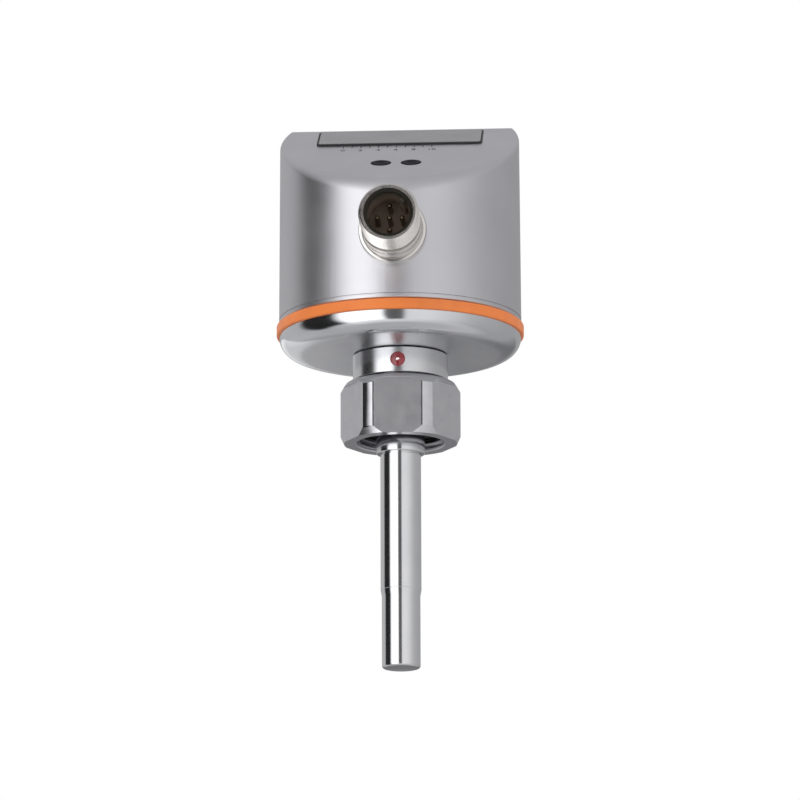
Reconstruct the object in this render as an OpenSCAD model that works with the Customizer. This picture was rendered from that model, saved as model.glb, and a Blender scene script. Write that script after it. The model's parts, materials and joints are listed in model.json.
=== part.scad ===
/* [Head shell] */
// Diameter of the head shell at its foot
head_d = 49; // [46:0.5:54]
// How much narrower the head shell is at the height of its flat top
head_taper = 0.5; // [0:0.1:1]
// Height of the head shell from its foot to its flat top
head_h = 43.35; // [41:0.05:50]
// Wall of the head shell
head_wall = 1.5; // [1:0.1:1.8]
// Radius on the panel's low front edge
head_edge_r = 1.8; // [0.8:0.1:2.4]
// Radius that this edge fades to round the sides and the top
head_back_edge_r = 0.4; // [0.3:0.1:1]
// Height of the panel's low front edge as a share of the head's height
panel_low_share = 0.56; // [0.54:0.005:0.6]
// Slope of the panel from level, in degrees
panel_tilt = 30.5; // [28:0.5:33]

/* [Display] */
// Width of the window's opening as a share of the head's width at the window's top
window_w_share = 0.729; // [0.65:0.001:0.74]
// Length of the window's opening along the slope
window_l = 10.7; // [8:0.1:12]
// Distance from the window's opening up to the bend at the top of the panel
window_top_gap = 0.8; // [0.6:0.1:3]
// How far the window and its gasket stand above the panel
window_rise = 0.4; // [0.1:0.1:0.8]
// Width of the black gasket's lip round the window
gasket_lip = 0.5; // [0.3:0.1:0.9]
// Number of light emitting diodes in the bar
led_count = 11; // [5:1:11]

/* [Buttons] */
// Diameter of each button
button_d = 3.8; // [3:0.1:4.4]
// Spacing of the two buttons, centre to centre
button_pitch = 6.1; // [6:0.1:9]
// Place of the buttons up the panel as a share of its length
button_v_share = 0.343; // [0.33:0.001:0.42]
// How far each button stands above the panel at rest
button_rise = 0.4; // [0.1:0.1:0.9]
// Travel of each button
button_travel = 0.5; // [0.2:0.1:0.6]
// Gap between each button and the edge of its hole
button_gap = 0.2; // [0.1:0.05:0.3]

/* [Connector] */
// Outer diameter of the connector's thread
thread_d = 12; // [11.5:0.5:13]
// Length of the connector's thread
thread_l = 7.7; // [6:0.1:10]
// Height of the connector's axis as a share of the height of the panel's low edge
connector_h_share = 0.56; // [0.5:0.005:0.57]
// How far the connector stands out from the head's wall
connector_l = 15.88; // [14:0.02:22]
// Diameter of the flange that seats on the head
flange_d = 13.6; // [13:0.1:15]
// Thickness of the flange in front of the head's wall
flange_t = 2.2; // [1.2:0.1:3]
// Diameter of the cavity that the cable plug goes into
cavity_d = 8.8; // [8.2:0.1:9.2]
// Depth of the cavity, from the mouth to the face of the insert
cavity_depth = 10.3; // [9:0.1:11]
// Depth of the tips of the contact pins behind the mouth
pin_tip_depth = 4.3; // [4.2:0.1:6]
// Diameter of the contact pins
pin_d = 1; // [0.8:0.05:1.1]
// Radius of the circle that the outer four contact pins stand on
pin_circle_r = 2.5; // [2.2:0.1:2.6]

/* [Base and seal ring] */
// Height of the coloured seal ring between the head and the base
ring_h = 2.2; // [1.5:0.1:3]
// How far the seal ring stands out past the head's foot
ring_proud = 0.5; // [0.3:0.1:1]
// How far the side of the base cap stands in from the head's foot
cap_inset = 0.05; // [0:0.05:1]
// Height of the base cap below the seal ring
cap_h = 3.9; // [3.7:0.1:6]
// Radius round the lower edge of the base cap
cap_edge_r = 3.6; // [1.5:0.1:3.6]
// Thickness of the base cap's floor
cap_floor = 2; // [1.5:0.1:2.5]
// Clearance of the spigot that centres the head, below the connector's lock nut
spigot_gap = 1.5; // [1.2:0.1:3.5]

/* [Stem and collar] */
// Diameter of the collar under the base cap
collar_d = 19.2; // [18:0.1:21]
// Height of the collar with its gasket
collar_h = 5.4; // [4.5:0.05:8]
// Thickness of the gasket between the collar and the base cap
collar_gasket_t = 0.2; // [0.2:0.1:0.8]
// Diameter of the red orientation mark
mark_d = 3; // [2:0.1:3.4]
// Diameter of the stem's neck inside the union nut
neck_d = 12; // [11:0.1:12.6]
// Diameter of the stem's shoulder that carries the union nut
shoulder_d = 15.4; // [14.6:0.1:15.8]
// Diameter of the sleeve that holds the probe
sleeve_d = 9.8; // [9.4:0.1:11]
// How far the sleeve reaches below the union nut
sleeve_drop = 2.2; // [0.5:0.1:5]

/* [Union nut] */
// Width of the union nut across its flats
nut_af = 22; // [21.2:0.1:24]
// Diameter at which the corners of the union nut are turned off
nut_corner_d = 24.2; // [23.6:0.1:26]
// Height of the union nut
nut_h = 12.15; // [12:0.05:16]
// Depth of the threaded bore, from the mouth to the web
nut_bore_depth = 8.5; // [8:0.1:9]
// Minor diameter of the thread in the union nut
nut_minor_d = 16.4; // [16.2:0.1:17]
// Play of the union nut between the collar and the shoulder
nut_play = 0.65; // [0.4:0.05:1.5]

/* [Probe] */
// Diameter of the probe tube
probe_d = 8.2; // [7.9:0.1:8.6]
// Distance from the union nut's mouth down to the joint of tube and tip
probe_joint_drop = 30.1; // [20:0.1:60]
// Diameter of the sensing tip
tip_d = 7.75; // [7.5:0.05:7.9]
// Length of the sensing tip below the joint
tip_l = 15.9; // [15:0.05:25]
// Wall of the probe tube
tube_wall = 0.6; // [0.4:0.1:0.6]

/* [Electronics] */
// Thickness of both circuit boards
board_t = 1.2; // [0.8:0.1:1.6]
// Distance from the outside of the panel down to the display board
display_depth = 6; // [5.8:0.1:6.4]
// Place of the main board as a share of the cap's inside radius
main_board_share = 0.56; // [0.52:0.01:0.58]
// Half of the carrier's width as a share of the cap's inside radius
carrier_w_share = 0.75; // [0.73:0.01:0.77]

/* [Hidden] */

// Smoothness of turned parts, of the balls on the rounded edge and of small pins
turned_fn = 128;
rim_count = 60;
ball_fn = 16;
small_fn = 32;

// Overrun of every cut, and the fit between pieces that are pushed together
cut = 0.5;
fit = 0.03;
// Clearance between pieces that are laid in place or turn
loose = 0.2;

// Heights on the head, from its foot, and the lock nut that the spigot stays below
panel_low_h = head_h * panel_low_share;
connector_h = panel_low_h * connector_h_share;
lock_nut_af = 14;
lock_nut_t = 2.7;
spigot_h = connector_h - lock_nut_af / 2 / cos(30) - spigot_gap;

// Heights of the stack, from the mouth of the union nut upwards
z_web = nut_bore_depth;
z_collar = nut_h + nut_play;
z_cap = z_collar + collar_h;
z_ring = z_cap + cap_h;
z_head = z_ring + ring_h;
z_top = z_head + head_h;
z_connector = z_head + connector_h;

// Radius of the slightly tapered head shell at a height
head_top_r = (head_d - head_taper) / 2;
function head_r(z) = head_d / 2 - head_taper / 2 * (z - z_head) / head_h;

// The sloping panel: its low front edge and its length up to the bend
panel_r = head_r(z_head + panel_low_h);
panel_l = (head_h - panel_low_h) / sin(panel_tilt);

// Height of the slope and of the whole roof over a place y, lowered square to the surface
function slope_z(y, drop) = z_head + panel_low_h + (y + panel_r) * tan(panel_tilt) - drop / cos(panel_tilt);
function roof_z(y, drop) = min(z_top - drop, slope_z(y, drop));

// The place y of a point up the slope and under it
function panel_y(v, depth) = v * cos(panel_tilt) + depth * sin(panel_tilt) - panel_r;

// The place y at which a lowered slope meets the lowered flat top
function bend_y(drop) = (z_top - drop - slope_z(0, drop)) / tan(panel_tilt);

// Radius of the head's edge at an angle from the front, and how fast it fades
edge_fade = 3;
function edge_r(angle) =
    head_back_edge_r + (head_edge_r - head_back_edge_r) * pow((1 + cos(angle)) / 2, edge_fade);

// Centres and radii of the balls that round the edge of the head
function rim_ball(angle) = let (
        ball_r = edge_r(angle),
        first_r = head_top_r - ball_r,
        z = roof_z(-first_r * cos(angle), ball_r),
        r = head_r(z) - ball_r
    ) [r * sin(angle), -r * cos(angle), z, ball_r];
bend_ball_y = bend_y(head_back_edge_r);
bend_ball_x = sqrt(pow(head_top_r - head_back_edge_r, 2) - pow(bend_ball_y, 2));
rim_balls = concat(
    [for (i = [0:rim_count - 1]) rim_ball(i * 360 / rim_count)],
    [for (side = [-1, 1]) [side * bend_ball_x, bend_ball_y, z_top - head_back_edge_r, head_back_edge_r]]
);
head_foot_chamfer = 0.45;

// Window and buttons, measured up the slope from the panel's low edge
window_v1 = panel_l - window_top_gap;
window_w = 2 * window_w_share * sqrt(pow(head_top_r, 2) - pow(panel_y(window_v1, 0), 2));
window_v0 = window_v1 - window_l;
window_v = (window_v0 + window_v1) / 2;
window_corner_r = 0.9;
button_v = panel_l * button_v_share;

// The window is held from inside by a flange with the gasket's foot above it
gasket_foot_t = 0.4;
window_flange_t = 0.9;
window_flange_side = 1.2;
window_flange_end = 0.4;
window_back = head_wall + gasket_foot_t + window_flange_t;

// The seal under the panel, the button's foot under it and the switch below
button_seal_t = 0.5;
button_seal_w = 1.1;
button_foot_t = 0.6;
button_foot_w = 0.7;
button_foot_gap = 0.05;
button_back = head_wall + button_seal_t + button_foot_gap + button_foot_t;
button_over = 0.05;
button_edge = 0.3;
switch_w = 4.5;
switch_cap_d = 2.2;
switch_cap_h = 0.8;

// Spigot of the base cap inside the head, and the radius it leaves
spigot_wall = 1.5;
spigot_r = head_d / 2 - head_wall - 2 * fit;
cap_inside_r = spigot_r - spigot_wall;

// Plastic carrier that stands on the floor of the base cap
carrier_half_w = cap_inside_r * carrier_w_share;
main_board_y = cap_inside_r * main_board_share;
carrier_t = 2;
carrier_ring_gap = 1.4;
carrier_ring_w = 4.6;
carrier_ring_h = 2;
carrier_ring_r = cap_inside_r - carrier_ring_gap;
carrier_front_gap = 1.4;
carrier_front = main_board_y + carrier_front_gap;
carrier_outer = carrier_half_w + carrier_t;
// How far the carrier's plates may reach inside the cap and inside the head
carrier_low_half = sqrt(pow(cap_inside_r - loose, 2) - pow(carrier_outer, 2));
carrier_high_half = sqrt(pow(head_top_r - head_wall - loose, 2) - pow(carrier_outer, 2));
// The carrier's rear wall stands behind the lock nut on the stem
stem_nut_af = 15;
stem_nut_gap = 0.5;
carrier_wall_y = stem_nut_af / 2 + stem_nut_gap;
hook_l = 3;
hook_over = 0.8;
hook_h = 0.6;
hook_v_shares = [0.3, 0.82];

// Display board, its mask with a shaft over each diode, and what it carries
display_half_w = carrier_half_w - loose;
display_low_gap = 2.8;
display_top_gap = 1.2;
display_v0 = button_v - switch_w / 2 - display_low_gap;
display_v1 = window_v1 - display_top_gap;
carrier_rear_gap = 0.5;
carrier_rear = min(
    carrier_high_half,
    max(panel_y(display_v1, display_depth + board_t) - carrier_rear_gap, carrier_wall_y + carrier_t)
);
mask_half_w = carrier_half_w - hook_over - loose;
mask_l = 7;
mask_gap = 0.1;
mask_rim = 0.35;
mask_end = 0.7;
led_pitch = (2 * mask_half_w - mask_rim) / led_count;
led_l = 1.6;
led_w = 1;
led_h = 0.8;
chip_w = 7;
chip_h = 1;
chip_leg = 0.8;

// Main board across the head behind the connector
main_half_w = carrier_half_w + board_t / 2;
main_low_gap = 0.5;
main_above = 5.9;
main_bottom = z_head + spigot_h + main_low_gap;
main_top = z_connector + main_above;
main_back = main_board_y - board_t;
capacitor_d = 6.3;
capacitor_h = 7;
capacitor_rim = 0.5;
capacitor_x_share = 0.68;
capacitor_x = carrier_half_w * capacitor_x_share;
capacitor_drop = 4.5;
capacitor_z = z_connector - capacitor_drop;
regulator_w = 6;
regulator_h = 2.2;
regulator_l = 4.4;
regulator_body_l = 3.3;
regulator_tab_t = 0.55;

// Flat ribbon that bends by the panel's slope between two sockets
ribbon_w = 9;
ribbon_t = 0.3;
ribbon_bend_r = 3;
ribbon_steps = 8;
socket_w = 11;
socket_t = 2;
socket_l = 2.4;
socket_drop = 0.2;
ribbon_y = -main_back + socket_t / 2;
ribbon_arc_y = ribbon_y - ribbon_bend_r * (1 - cos(panel_tilt));
socket_depth = display_depth + board_t + socket_t;
socket_v = (ribbon_arc_y + panel_r - socket_depth * sin(panel_tilt)) / cos(panel_tilt);
ribbon_arc_top = slope_z(ribbon_arc_y, socket_depth);
ribbon_arc_z = ribbon_arc_top - ribbon_bend_r * sin(panel_tilt);
main_socket_top = main_top - socket_drop;

// Connector barrel: distances from the head's axis
groove_l = 1.2;
groove_depth = 0.65;
neck_ring_w = 0.5;
neck_ring_depth = 0.25;
barrel_chamfer = 0.45;
mouth_bevel = 0.75;
mouth_bevel_l = 0.8;
shank_gap = 0.4;
shank_l = 7;
flange_chamfer = 0.5;
shank_d = thread_d - 2 * shank_gap;
wall_r = head_r(z_connector);
connector_reach = wall_r + connector_l;
shank_rear = wall_r - shank_l;
thread_rear = connector_reach - thread_l;
flange_front = wall_r + flange_t;
saddle_gap = 0.03;
// The lock nut stops where its flats would meet the curved inside of the wall
lock_nut_front = sqrt(pow(wall_r - head_wall, 2) - pow(lock_nut_af / 2, 2)) - loose;
key_w = 1.1;
key_h = 0.75;
key_depth = 1.3;
key_angle = 45;
tail_share = 0.7;
tail_over = 0.6;

// Seal ring, its rounded edges and the floor of the base cap
ring_r = head_d / 2 + ring_proud;
ring_edge_r = 0.25;
cap_r = head_d / 2 - cap_inset;
cap_fillet_r = 1;
z_floor = z_cap + cap_floor;

// Stem
stem_thread_d = 10;
stem_bore_d = 5.2;
stem_wall_top = 8.3;
neck_socket = 1.5;
shoulder_t = 3;
cone_h = 2.8;
cone_angle = 12;
cone_top_r = 7;
seal_wire_r = 0.72;
seal_groove_r = 5.7;
seat_play = 0.1;
sleeve_chamfer = 0.3;
tube_seat = 6.2;
tube_step = 0.2;
tube_neck_l = 0.3;
tube_seat_r = probe_d / 2 - tube_step;
collar_chamfer = 0.25;
gasket_inset = 0.35;
stem_washer_t = 1;
stem_washer_d = 16;
stem_nut_h = 4;
mark_depth = 1.2;
mark_dome_r = 2.6;
z_shoulder = z_web - seat_play;
z_cone = z_shoulder - shoulder_t;

// Union nut
nut_face_r = 11.4;
nut_bottom_rise = 1.5;
nut_top_r = 11;
nut_top_rise = 1.75;
nut_ledge = 0.9;
nut_mouth_chamfer = 0.35;
nut_thread_pitch = 1.5;
nut_relief_l = 1.6;
neck_gap = 0.2;

// Probe
tip_taper_l = 1.2;
tip_edge_r = 0.5;
tip_floor = 0.65;
tip_wall = 0.75;
tip_spigot_l = 4;
z_joint = -probe_joint_drop;
z_tip = z_joint - tip_l;
substrate_t = 0.6;
substrate_gap = 0.03;
substrate_l = 14.4;
reference_rise = 9.6;
heater_l = 4;
heater_w = 3.4;
heater_t = 0.25;
sensor_l = 2;
sensor_w = 1.2;
sensor_t = 0.7;
lead_d = 0.6;
lead_pitch = 0.9;
lead_count = 4;
lead_solder_l = 1.5;
lead_rise = 1;
lead_turn_z = z_floor + stem_wall_top + lead_rise;

module revolve() {
    rotate_extrude($fn = turned_fn) children();
}

// One rectangle of a turned profile, between two radii and two heights
module band(r0, r1, z0, z1) {
    translate([r0, z0]) square([r1 - r0, z1 - z0]);
}

// The rounding of a lower outer edge in a turned profile
module lower_quarter(r_centre, z_centre, r) {
    intersection() {
        translate([r_centre, z_centre]) circle(r, $fn = turned_fn);
        band(r_centre, r_centre + r, z_centre - r, z_centre);
    }
}

// Puts children on the panel: x across, y up the slope, z out of the surface
module on_panel(v, depth) {
    translate([0, -panel_r, z_head + panel_low_h])
        rotate([panel_tilt, 0, 0])
            translate([0, v, -depth]) children();
}

// Puts children on the connector's axis: z runs out of the head
module on_connector(reach) {
    translate([0, -reach, z_connector]) rotate([90, 0, 0]) children();
}

// A plate with round corners, centred, rising from zero
module round_plate(w, l, r, h) {
    translate([-w / 2 + r, -l / 2, 0]) cube([w - 2 * r, l, h]);
    translate([-w / 2, -l / 2 + r, 0]) cube([w, l - 2 * r, h]);
    for (x = [-1, 1], y = [-1, 1])
        translate([x * (w / 2 - r), y * (l / 2 - r), 0])
            cylinder(r = r, h = h, $fn = small_fn);
}

module centred_box(w, l, h) {
    translate([-w / 2, -l / 2, 0]) cube([w, l, h]);
}

// The side profile below the lowered roof, cut straight across the head
module under_roof(drop) {
    half = head_d;
    rotate([90, 0, 90])
        translate([0, 0, -half])
            linear_extrude(2 * half)
                polygon([
                    [-half, z_head - cut],
                    [half, z_head - cut],
                    [half, z_top - drop],
                    [bend_y(drop), z_top - drop],
                    [-half, slope_z(-half, drop)]
                ]);
}

// The tapered wall of the head, moved inwards by an inset
module head_cone(inset) {
    translate([0, 0, z_head - cut])
        cylinder(
            r1 = head_r(z_head - cut) - inset,
            r2 = head_r(z_top + cut) - inset,
            h = head_h + 2 * cut,
            $fn = turned_fn
        );
}

module head_form() {
    hull() {
        translate([0, 0, z_head])
            cylinder(r = head_d / 2 - head_foot_chamfer, h = head_foot_chamfer, $fn = rim_count);
        translate([0, 0, z_head + head_foot_chamfer])
            cylinder(r = head_d / 2, h = head_foot_chamfer, $fn = rim_count);
        for (ball = rim_balls)
            translate([ball[0], ball[1], ball[2]]) sphere(ball[3], $fn = ball_fn);
    }
}

module head_shell() {
    color("silver")
        difference() {
            head_form();
            intersection() {
                head_cone(head_wall);
                under_roof(head_wall);
            }
            on_panel(window_v, head_wall + cut)
                round_plate(window_w, window_l, window_corner_r, head_wall + 2 * cut);
            for (side = [-1, 1])
                on_panel(button_v, head_wall + cut)
                    translate([side * button_pitch / 2, 0, 0])
                        cylinder(d = button_d + 2 * button_gap, h = head_wall + 2 * cut, $fn = small_fn);
            on_connector(0)
                cylinder(d = shank_d + 2 * fit, h = head_d, $fn = turned_fn);
        }
}

// Clear window with its flange behind the panel
module display_window() {
    lens_w = window_w - 2 * gasket_lip - 2 * fit;
    lens_l = window_l - 2 * gasket_lip - 2 * fit;
    color([0.45, 0.47, 0.5, 0.7])
        on_panel(window_v, window_back) {
            round_plate(lens_w, lens_l, window_corner_r - gasket_lip / 2, window_back + window_rise);
            centred_box(
                window_w + 2 * window_flange_side,
                window_l + 2 * window_flange_end,
                window_flange_t
            );
        }
}

// Black gasket: a lip round the window and a foot behind the panel
module window_gasket() {
    lens_w = window_w - 2 * gasket_lip;
    lens_l = window_l - 2 * gasket_lip;
    color([0.06, 0.06, 0.07])
        on_panel(window_v, head_wall + gasket_foot_t)
            difference() {
                union() {
                    round_plate(
                        window_w - 2 * fit,
                        window_l - 2 * fit,
                        window_corner_r,
                        head_wall + gasket_foot_t + window_rise - fit
                    );
                    centred_box(
                        window_w + 2 * window_flange_side,
                        window_l + 2 * window_flange_end,
                        gasket_foot_t
                    );
                }
                translate([0, 0, -cut])
                    round_plate(
                        lens_w,
                        lens_l,
                        window_corner_r - gasket_lip / 2,
                        head_wall + gasket_foot_t + window_rise + 2 * cut
                    );
            }
}

// Places of the diodes along the bar
function led_x(i) = (i - (led_count - 1) / 2) * led_pitch;

// Black mask that keeps the light of each diode to its own shaft
module light_mask() {
    mask_h = display_depth - window_back - mask_gap;
    color([0.08, 0.08, 0.09])
        on_panel(window_v, display_depth)
            difference() {
                centred_box(2 * mask_half_w, mask_l, mask_h);
                for (i = [0:led_count - 1])
                    translate([led_x(i), 0, -cut])
                        centred_box(led_pitch - mask_rim, mask_l - 2 * mask_end, mask_h + 2 * cut);
            }
}

// A button: rounded cap, shaft through the panel and a foot that stops it
module button(side) {
    radius = button_d / 2;
    height = button_back + button_rise;
    color([0.1, 0.1, 0.11])
        on_panel(button_v, button_back)
            translate([side * button_pitch / 2, 0, 0])
                rotate_extrude($fn = 2 * small_fn) {
                    band(0, radius + button_foot_w, 0, button_foot_t);
                    band(0, radius, 0, height - button_edge);
                    band(0, radius - button_edge, 0, height);
                    intersection() {
                        translate([radius - button_edge, height - button_edge])
                            circle(button_edge, $fn = small_fn);
                        band(0, radius, height - button_edge, height);
                    }
                }
}

module left_button() {
    button(-1);
}

module right_button() {
    button(1);
}

module button_seals() {
    inner = button_d / 2 + button_gap;
    color([0.2, 0.2, 0.22])
        for (side = [-1, 1])
            on_panel(button_v, head_wall + button_seal_t)
                translate([side * button_pitch / 2, 0, 0])
                    difference() {
                        cylinder(
                            r = min(inner + button_seal_w, button_pitch / 2 - button_over),
                            h = button_seal_t,
                            $fn = 2 * small_fn
                        );
                        translate([0, 0, -cut])
                            cylinder(r = inner, h = button_seal_t + 2 * cut, $fn = 2 * small_fn);
                    }
}

module tactile_switches() {
    switch_h = display_depth - button_back - button_travel - button_over;
    color([0.25, 0.25, 0.27])
        for (side = [-1, 1])
            on_panel(button_v, display_depth)
                translate([side * button_pitch / 2, 0, 0]) {
                    centred_box(switch_w, switch_w, switch_h - switch_cap_h);
                    cylinder(d = switch_cap_d, h = switch_h, $fn = small_fn);
                }
}

module display_board() {
    color([0.05, 0.35, 0.2])
        on_panel(display_v0, display_depth + board_t)
            translate([-display_half_w, 0, 0])
                cube([2 * display_half_w, display_v1 - display_v0, board_t]);
}

module led_bar() {
    color([0.95, 0.95, 0.8])
        for (i = [0:led_count - 1])
            on_panel(window_v, display_depth)
                translate([led_x(i), 0, 0]) centred_box(led_w, led_l, led_h);
}

module processor_chip() {
    color([0.12, 0.12, 0.12])
        on_panel(window_v, display_depth + board_t + chip_h) {
            centred_box(chip_w, chip_w, chip_h);
            translate([0, 0, chip_h / 2]) {
                centred_box(chip_w + 2 * chip_leg, chip_w - 2 * chip_leg, chip_h / 2);
                centred_box(chip_w - 2 * chip_leg, chip_w + 2 * chip_leg, chip_h / 2);
            }
        }
}

// One face of the flat cable: up from the main board, round a bend, into the upper socket
function ribbon_face(side) = let (
        r = ribbon_bend_r + side * ribbon_t / 2,
        end = socket_t / 2
    ) concat(
        [[ribbon_y + side * ribbon_t / 2, main_socket_top - socket_l / 2]],
        [for (i = [0:ribbon_steps]) let (turn = panel_tilt * i / ribbon_steps)
            [ribbon_y - ribbon_bend_r + r * cos(turn), ribbon_arc_z + r * sin(turn)]],
        [[
            ribbon_y - ribbon_bend_r + r * cos(panel_tilt) - end * sin(panel_tilt),
            ribbon_arc_z + r * sin(panel_tilt) + end * cos(panel_tilt)
        ]]
    );

module ribbon_cable() {
    inner = ribbon_face(-1);
    outer = ribbon_face(1);
    color([0.85, 0.83, 0.75])
        translate([-ribbon_w / 2, 0, 0])
            rotate([90, 0, 90])
                linear_extrude(ribbon_w)
                    polygon(concat(inner, [for (i = [len(outer) - 1:-1:0]) outer[i]]));
}

// Sockets that hold the two ends of the ribbon, each with a slot for it
module ribbon_sockets() {
    slot_w = ribbon_w + 2 * fit;
    slot_t = ribbon_t + 2 * fit;
    color([0.9, 0.88, 0.8]) {
        difference() {
            translate([-socket_w / 2, -main_back, main_socket_top - socket_l])
                cube([socket_w, socket_t, socket_l]);
            translate([-slot_w / 2, ribbon_y - slot_t / 2, main_socket_top - socket_l / 2 - fit])
                cube([slot_w, slot_t, socket_l]);
        }
        on_panel(socket_v, socket_depth)
            difference() {
                centred_box(socket_w, socket_l, socket_t);
                translate([0, 0, -socket_t / 2 + fit])
                    centred_box(slot_w, slot_t, socket_t);
            }
    }
}

// Places of the contacts across the connector's axis
pin_places = concat(
    [[0, 0]],
    [for (turn = [0:90:270]) [pin_circle_r * cos(turn), pin_circle_r * sin(turn)]]
);
tail_d = pin_d * tail_share;

module main_board() {
    color([0.05, 0.35, 0.2])
        difference() {
            translate([-main_half_w, -main_board_y, main_bottom])
                cube([2 * main_half_w, board_t, main_top - main_bottom]);
            on_connector(main_back - cut)
                for (place = pin_places)
                    translate([place[0], place[1], 0])
                        cylinder(d = tail_d + 2 * fit, h = board_t + 2 * cut, $fn = small_fn);
        }
}

module capacitors() {
    color([0.75, 0.76, 0.78])
        for (side = [-1, 1])
            translate([side * capacitor_x, -main_back, capacitor_z])
                rotate([-90, 0, 0])
                    rotate_extrude($fn = 2 * small_fn)
                        polygon([
                            [0, 0],
                            [capacitor_d / 2, 0],
                            [capacitor_d / 2, capacitor_h - capacitor_rim],
                            [capacitor_d / 2 - capacitor_rim, capacitor_h],
                            [0, capacitor_h]
                        ]);
}

module voltage_regulator() {
    color([0.15, 0.15, 0.16])
        translate([capacitor_x - regulator_w / 2, -main_back, main_top - regulator_l]) {
            cube([regulator_w, regulator_h, regulator_body_l]);
            cube([regulator_w, regulator_tab_t, regulator_l]);
        }
}

// Side profile of the carrier's plates, from the cap's floor up to the display board
module carrier_plate() {
    seat = display_depth + board_t;
    foot_rear = min(carrier_low_half, carrier_rear);
    step_z = z_head + spigot_h + loose;
    translate([carrier_half_w, 0, 0])
        rotate([90, 0, 90])
            linear_extrude(carrier_t)
                polygon([
                    [-carrier_low_half, z_floor + cap_fillet_r],
                    [foot_rear, z_floor + cap_fillet_r],
                    [foot_rear, step_z],
                    [carrier_rear, step_z],
                    [carrier_rear, slope_z(carrier_rear, seat)],
                    [-carrier_front, slope_z(-carrier_front, seat)],
                    [-carrier_front, step_z],
                    [-carrier_low_half, step_z]
                ]);
}

// A hook that grips the edge of the display board
module board_hook(v) {
    on_panel(v, display_depth + board_t + carrier_t) {
        translate([carrier_half_w, -hook_l / 2, 0])
            cube([carrier_t, hook_l, carrier_t + board_t + hook_h + loose / 2]);
        translate([carrier_half_w - hook_over, -hook_l / 2, carrier_t + board_t + loose / 2])
            cube([hook_over + carrier_t / 2, hook_l, hook_h]);
    }
}

module board_carrier() {
    slot_t = board_t + 2 * fit;
    color([0.2, 0.2, 0.22])
        difference() {
            union() {
                revolve() band(
                    carrier_ring_r - carrier_ring_w,
                    carrier_ring_r,
                    z_floor,
                    z_floor + carrier_ring_h
                );
                for (side = [0, 1])
                    mirror([side, 0, 0]) {
                        carrier_plate();
                        for (share = hook_v_shares)
                            board_hook(display_v0 + (display_v1 - display_v0) * share);
                    }
                translate([-carrier_half_w, carrier_wall_y, z_floor])
                    cube([2 * carrier_half_w, carrier_t, main_top - z_floor]);
            }
            translate([-main_half_w - fit, -main_board_y - fit, main_bottom - fit])
                cube([2 * main_half_w + 2 * fit, slot_t, z_top]);
        }
}

// Turned barrel with its flange cut to the curve of the head
module connector_shell() {
    radius = thread_d / 2;
    flange_r = flange_d / 2;
    neck_groove = (flange_front + thread_rear - groove_l) / 2;
    color([0.82, 0.8, 0.76])
        difference() {
            on_connector(0)
                rotate_extrude($fn = turned_fn)
                    difference() {
                        polygon([
                            [0, shank_rear],
                            [shank_d / 2, shank_rear],
                            [shank_d / 2, lock_nut_front],
                            [flange_r, lock_nut_front],
                            [flange_r, flange_front - flange_chamfer],
                            [flange_r - flange_chamfer, flange_front],
                            [radius, flange_front],
                            [radius, neck_groove - neck_ring_w],
                            [radius - neck_ring_depth, neck_groove],
                            [radius, neck_groove + neck_ring_w],
                            [radius, thread_rear - groove_l],
                            [radius - groove_depth, thread_rear - groove_l],
                            [radius - groove_depth, thread_rear - groove_depth],
                            [radius, thread_rear],
                            [radius, connector_reach - barrel_chamfer],
                            [radius - barrel_chamfer, connector_reach],
                            [0, connector_reach]
                        ]);
                        band(0, cavity_d / 2, shank_rear - cut, connector_reach + cut);
                        polygon([
                            [0, connector_reach - mouth_bevel_l],
                            [cavity_d / 2, connector_reach - mouth_bevel_l],
                            [cavity_d / 2 + mouth_bevel, connector_reach],
                            [cavity_d / 2 + mouth_bevel, connector_reach + cut],
                            [0, connector_reach + cut]
                        ]);
                    }
            difference() {
                head_cone(-saddle_gap);
                on_connector(0) cylinder(d = shank_d, h = head_d, $fn = turned_fn);
            }
        }
}

// Moulded insert with the coding key along the cavity's wall
module connector_insert() {
    radius = cavity_d / 2 - fit;
    face = connector_reach - cavity_depth;
    key_l = cavity_depth - key_depth;
    color([0.14, 0.1, 0.08])
        difference() {
            on_connector(shank_rear) {
                cylinder(r = radius, h = face - shank_rear, $fn = turned_fn);
                intersection() {
                    cylinder(r = radius, h = face - shank_rear + key_l, $fn = turned_fn);
                    rotate([0, 0, key_angle])
                        translate([cavity_d / 2 - key_h, -key_w / 2, 0])
                            cube([key_h, key_w, face - shank_rear + key_l]);
                }
            }
            on_connector(shank_rear - cut)
                for (place = pin_places)
                    translate([place[0], place[1], 0])
                        cylinder(d = pin_d + 2 * fit, h = face - shank_rear + 2 * cut, $fn = small_fn);
        }
}

// Contact pins with rounded tips and thinner tails through the main board
module contact_pins() {
    tip = connector_reach - pin_tip_depth;
    color([0.85, 0.68, 0.32])
        on_connector(0)
            for (place = pin_places)
                translate([place[0], place[1], 0]) {
                    translate([0, 0, shank_rear])
                        cylinder(d = pin_d, h = tip - pin_d / 2 - shank_rear, $fn = small_fn);
                    translate([0, 0, tip - pin_d / 2])
                        sphere(d = pin_d, $fn = small_fn);
                    translate([0, 0, main_back - tail_over])
                        cylinder(d = tail_d, h = shank_rear - main_back + tail_over, $fn = small_fn);
                }
}

// Rubber saddle between the flat lock nut and the curved inside of the wall
module connector_gasket() {
    color([0.07, 0.07, 0.08])
        intersection() {
            on_connector(lock_nut_front)
                difference() {
                    cylinder(r = lock_nut_af / 2, h = wall_r - lock_nut_front, $fn = turned_fn);
                    translate([0, 0, -cut])
                        cylinder(d = shank_d + 2 * fit, h = wall_r, $fn = turned_fn);
                }
            head_cone(head_wall + fit);
        }
}

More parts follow.
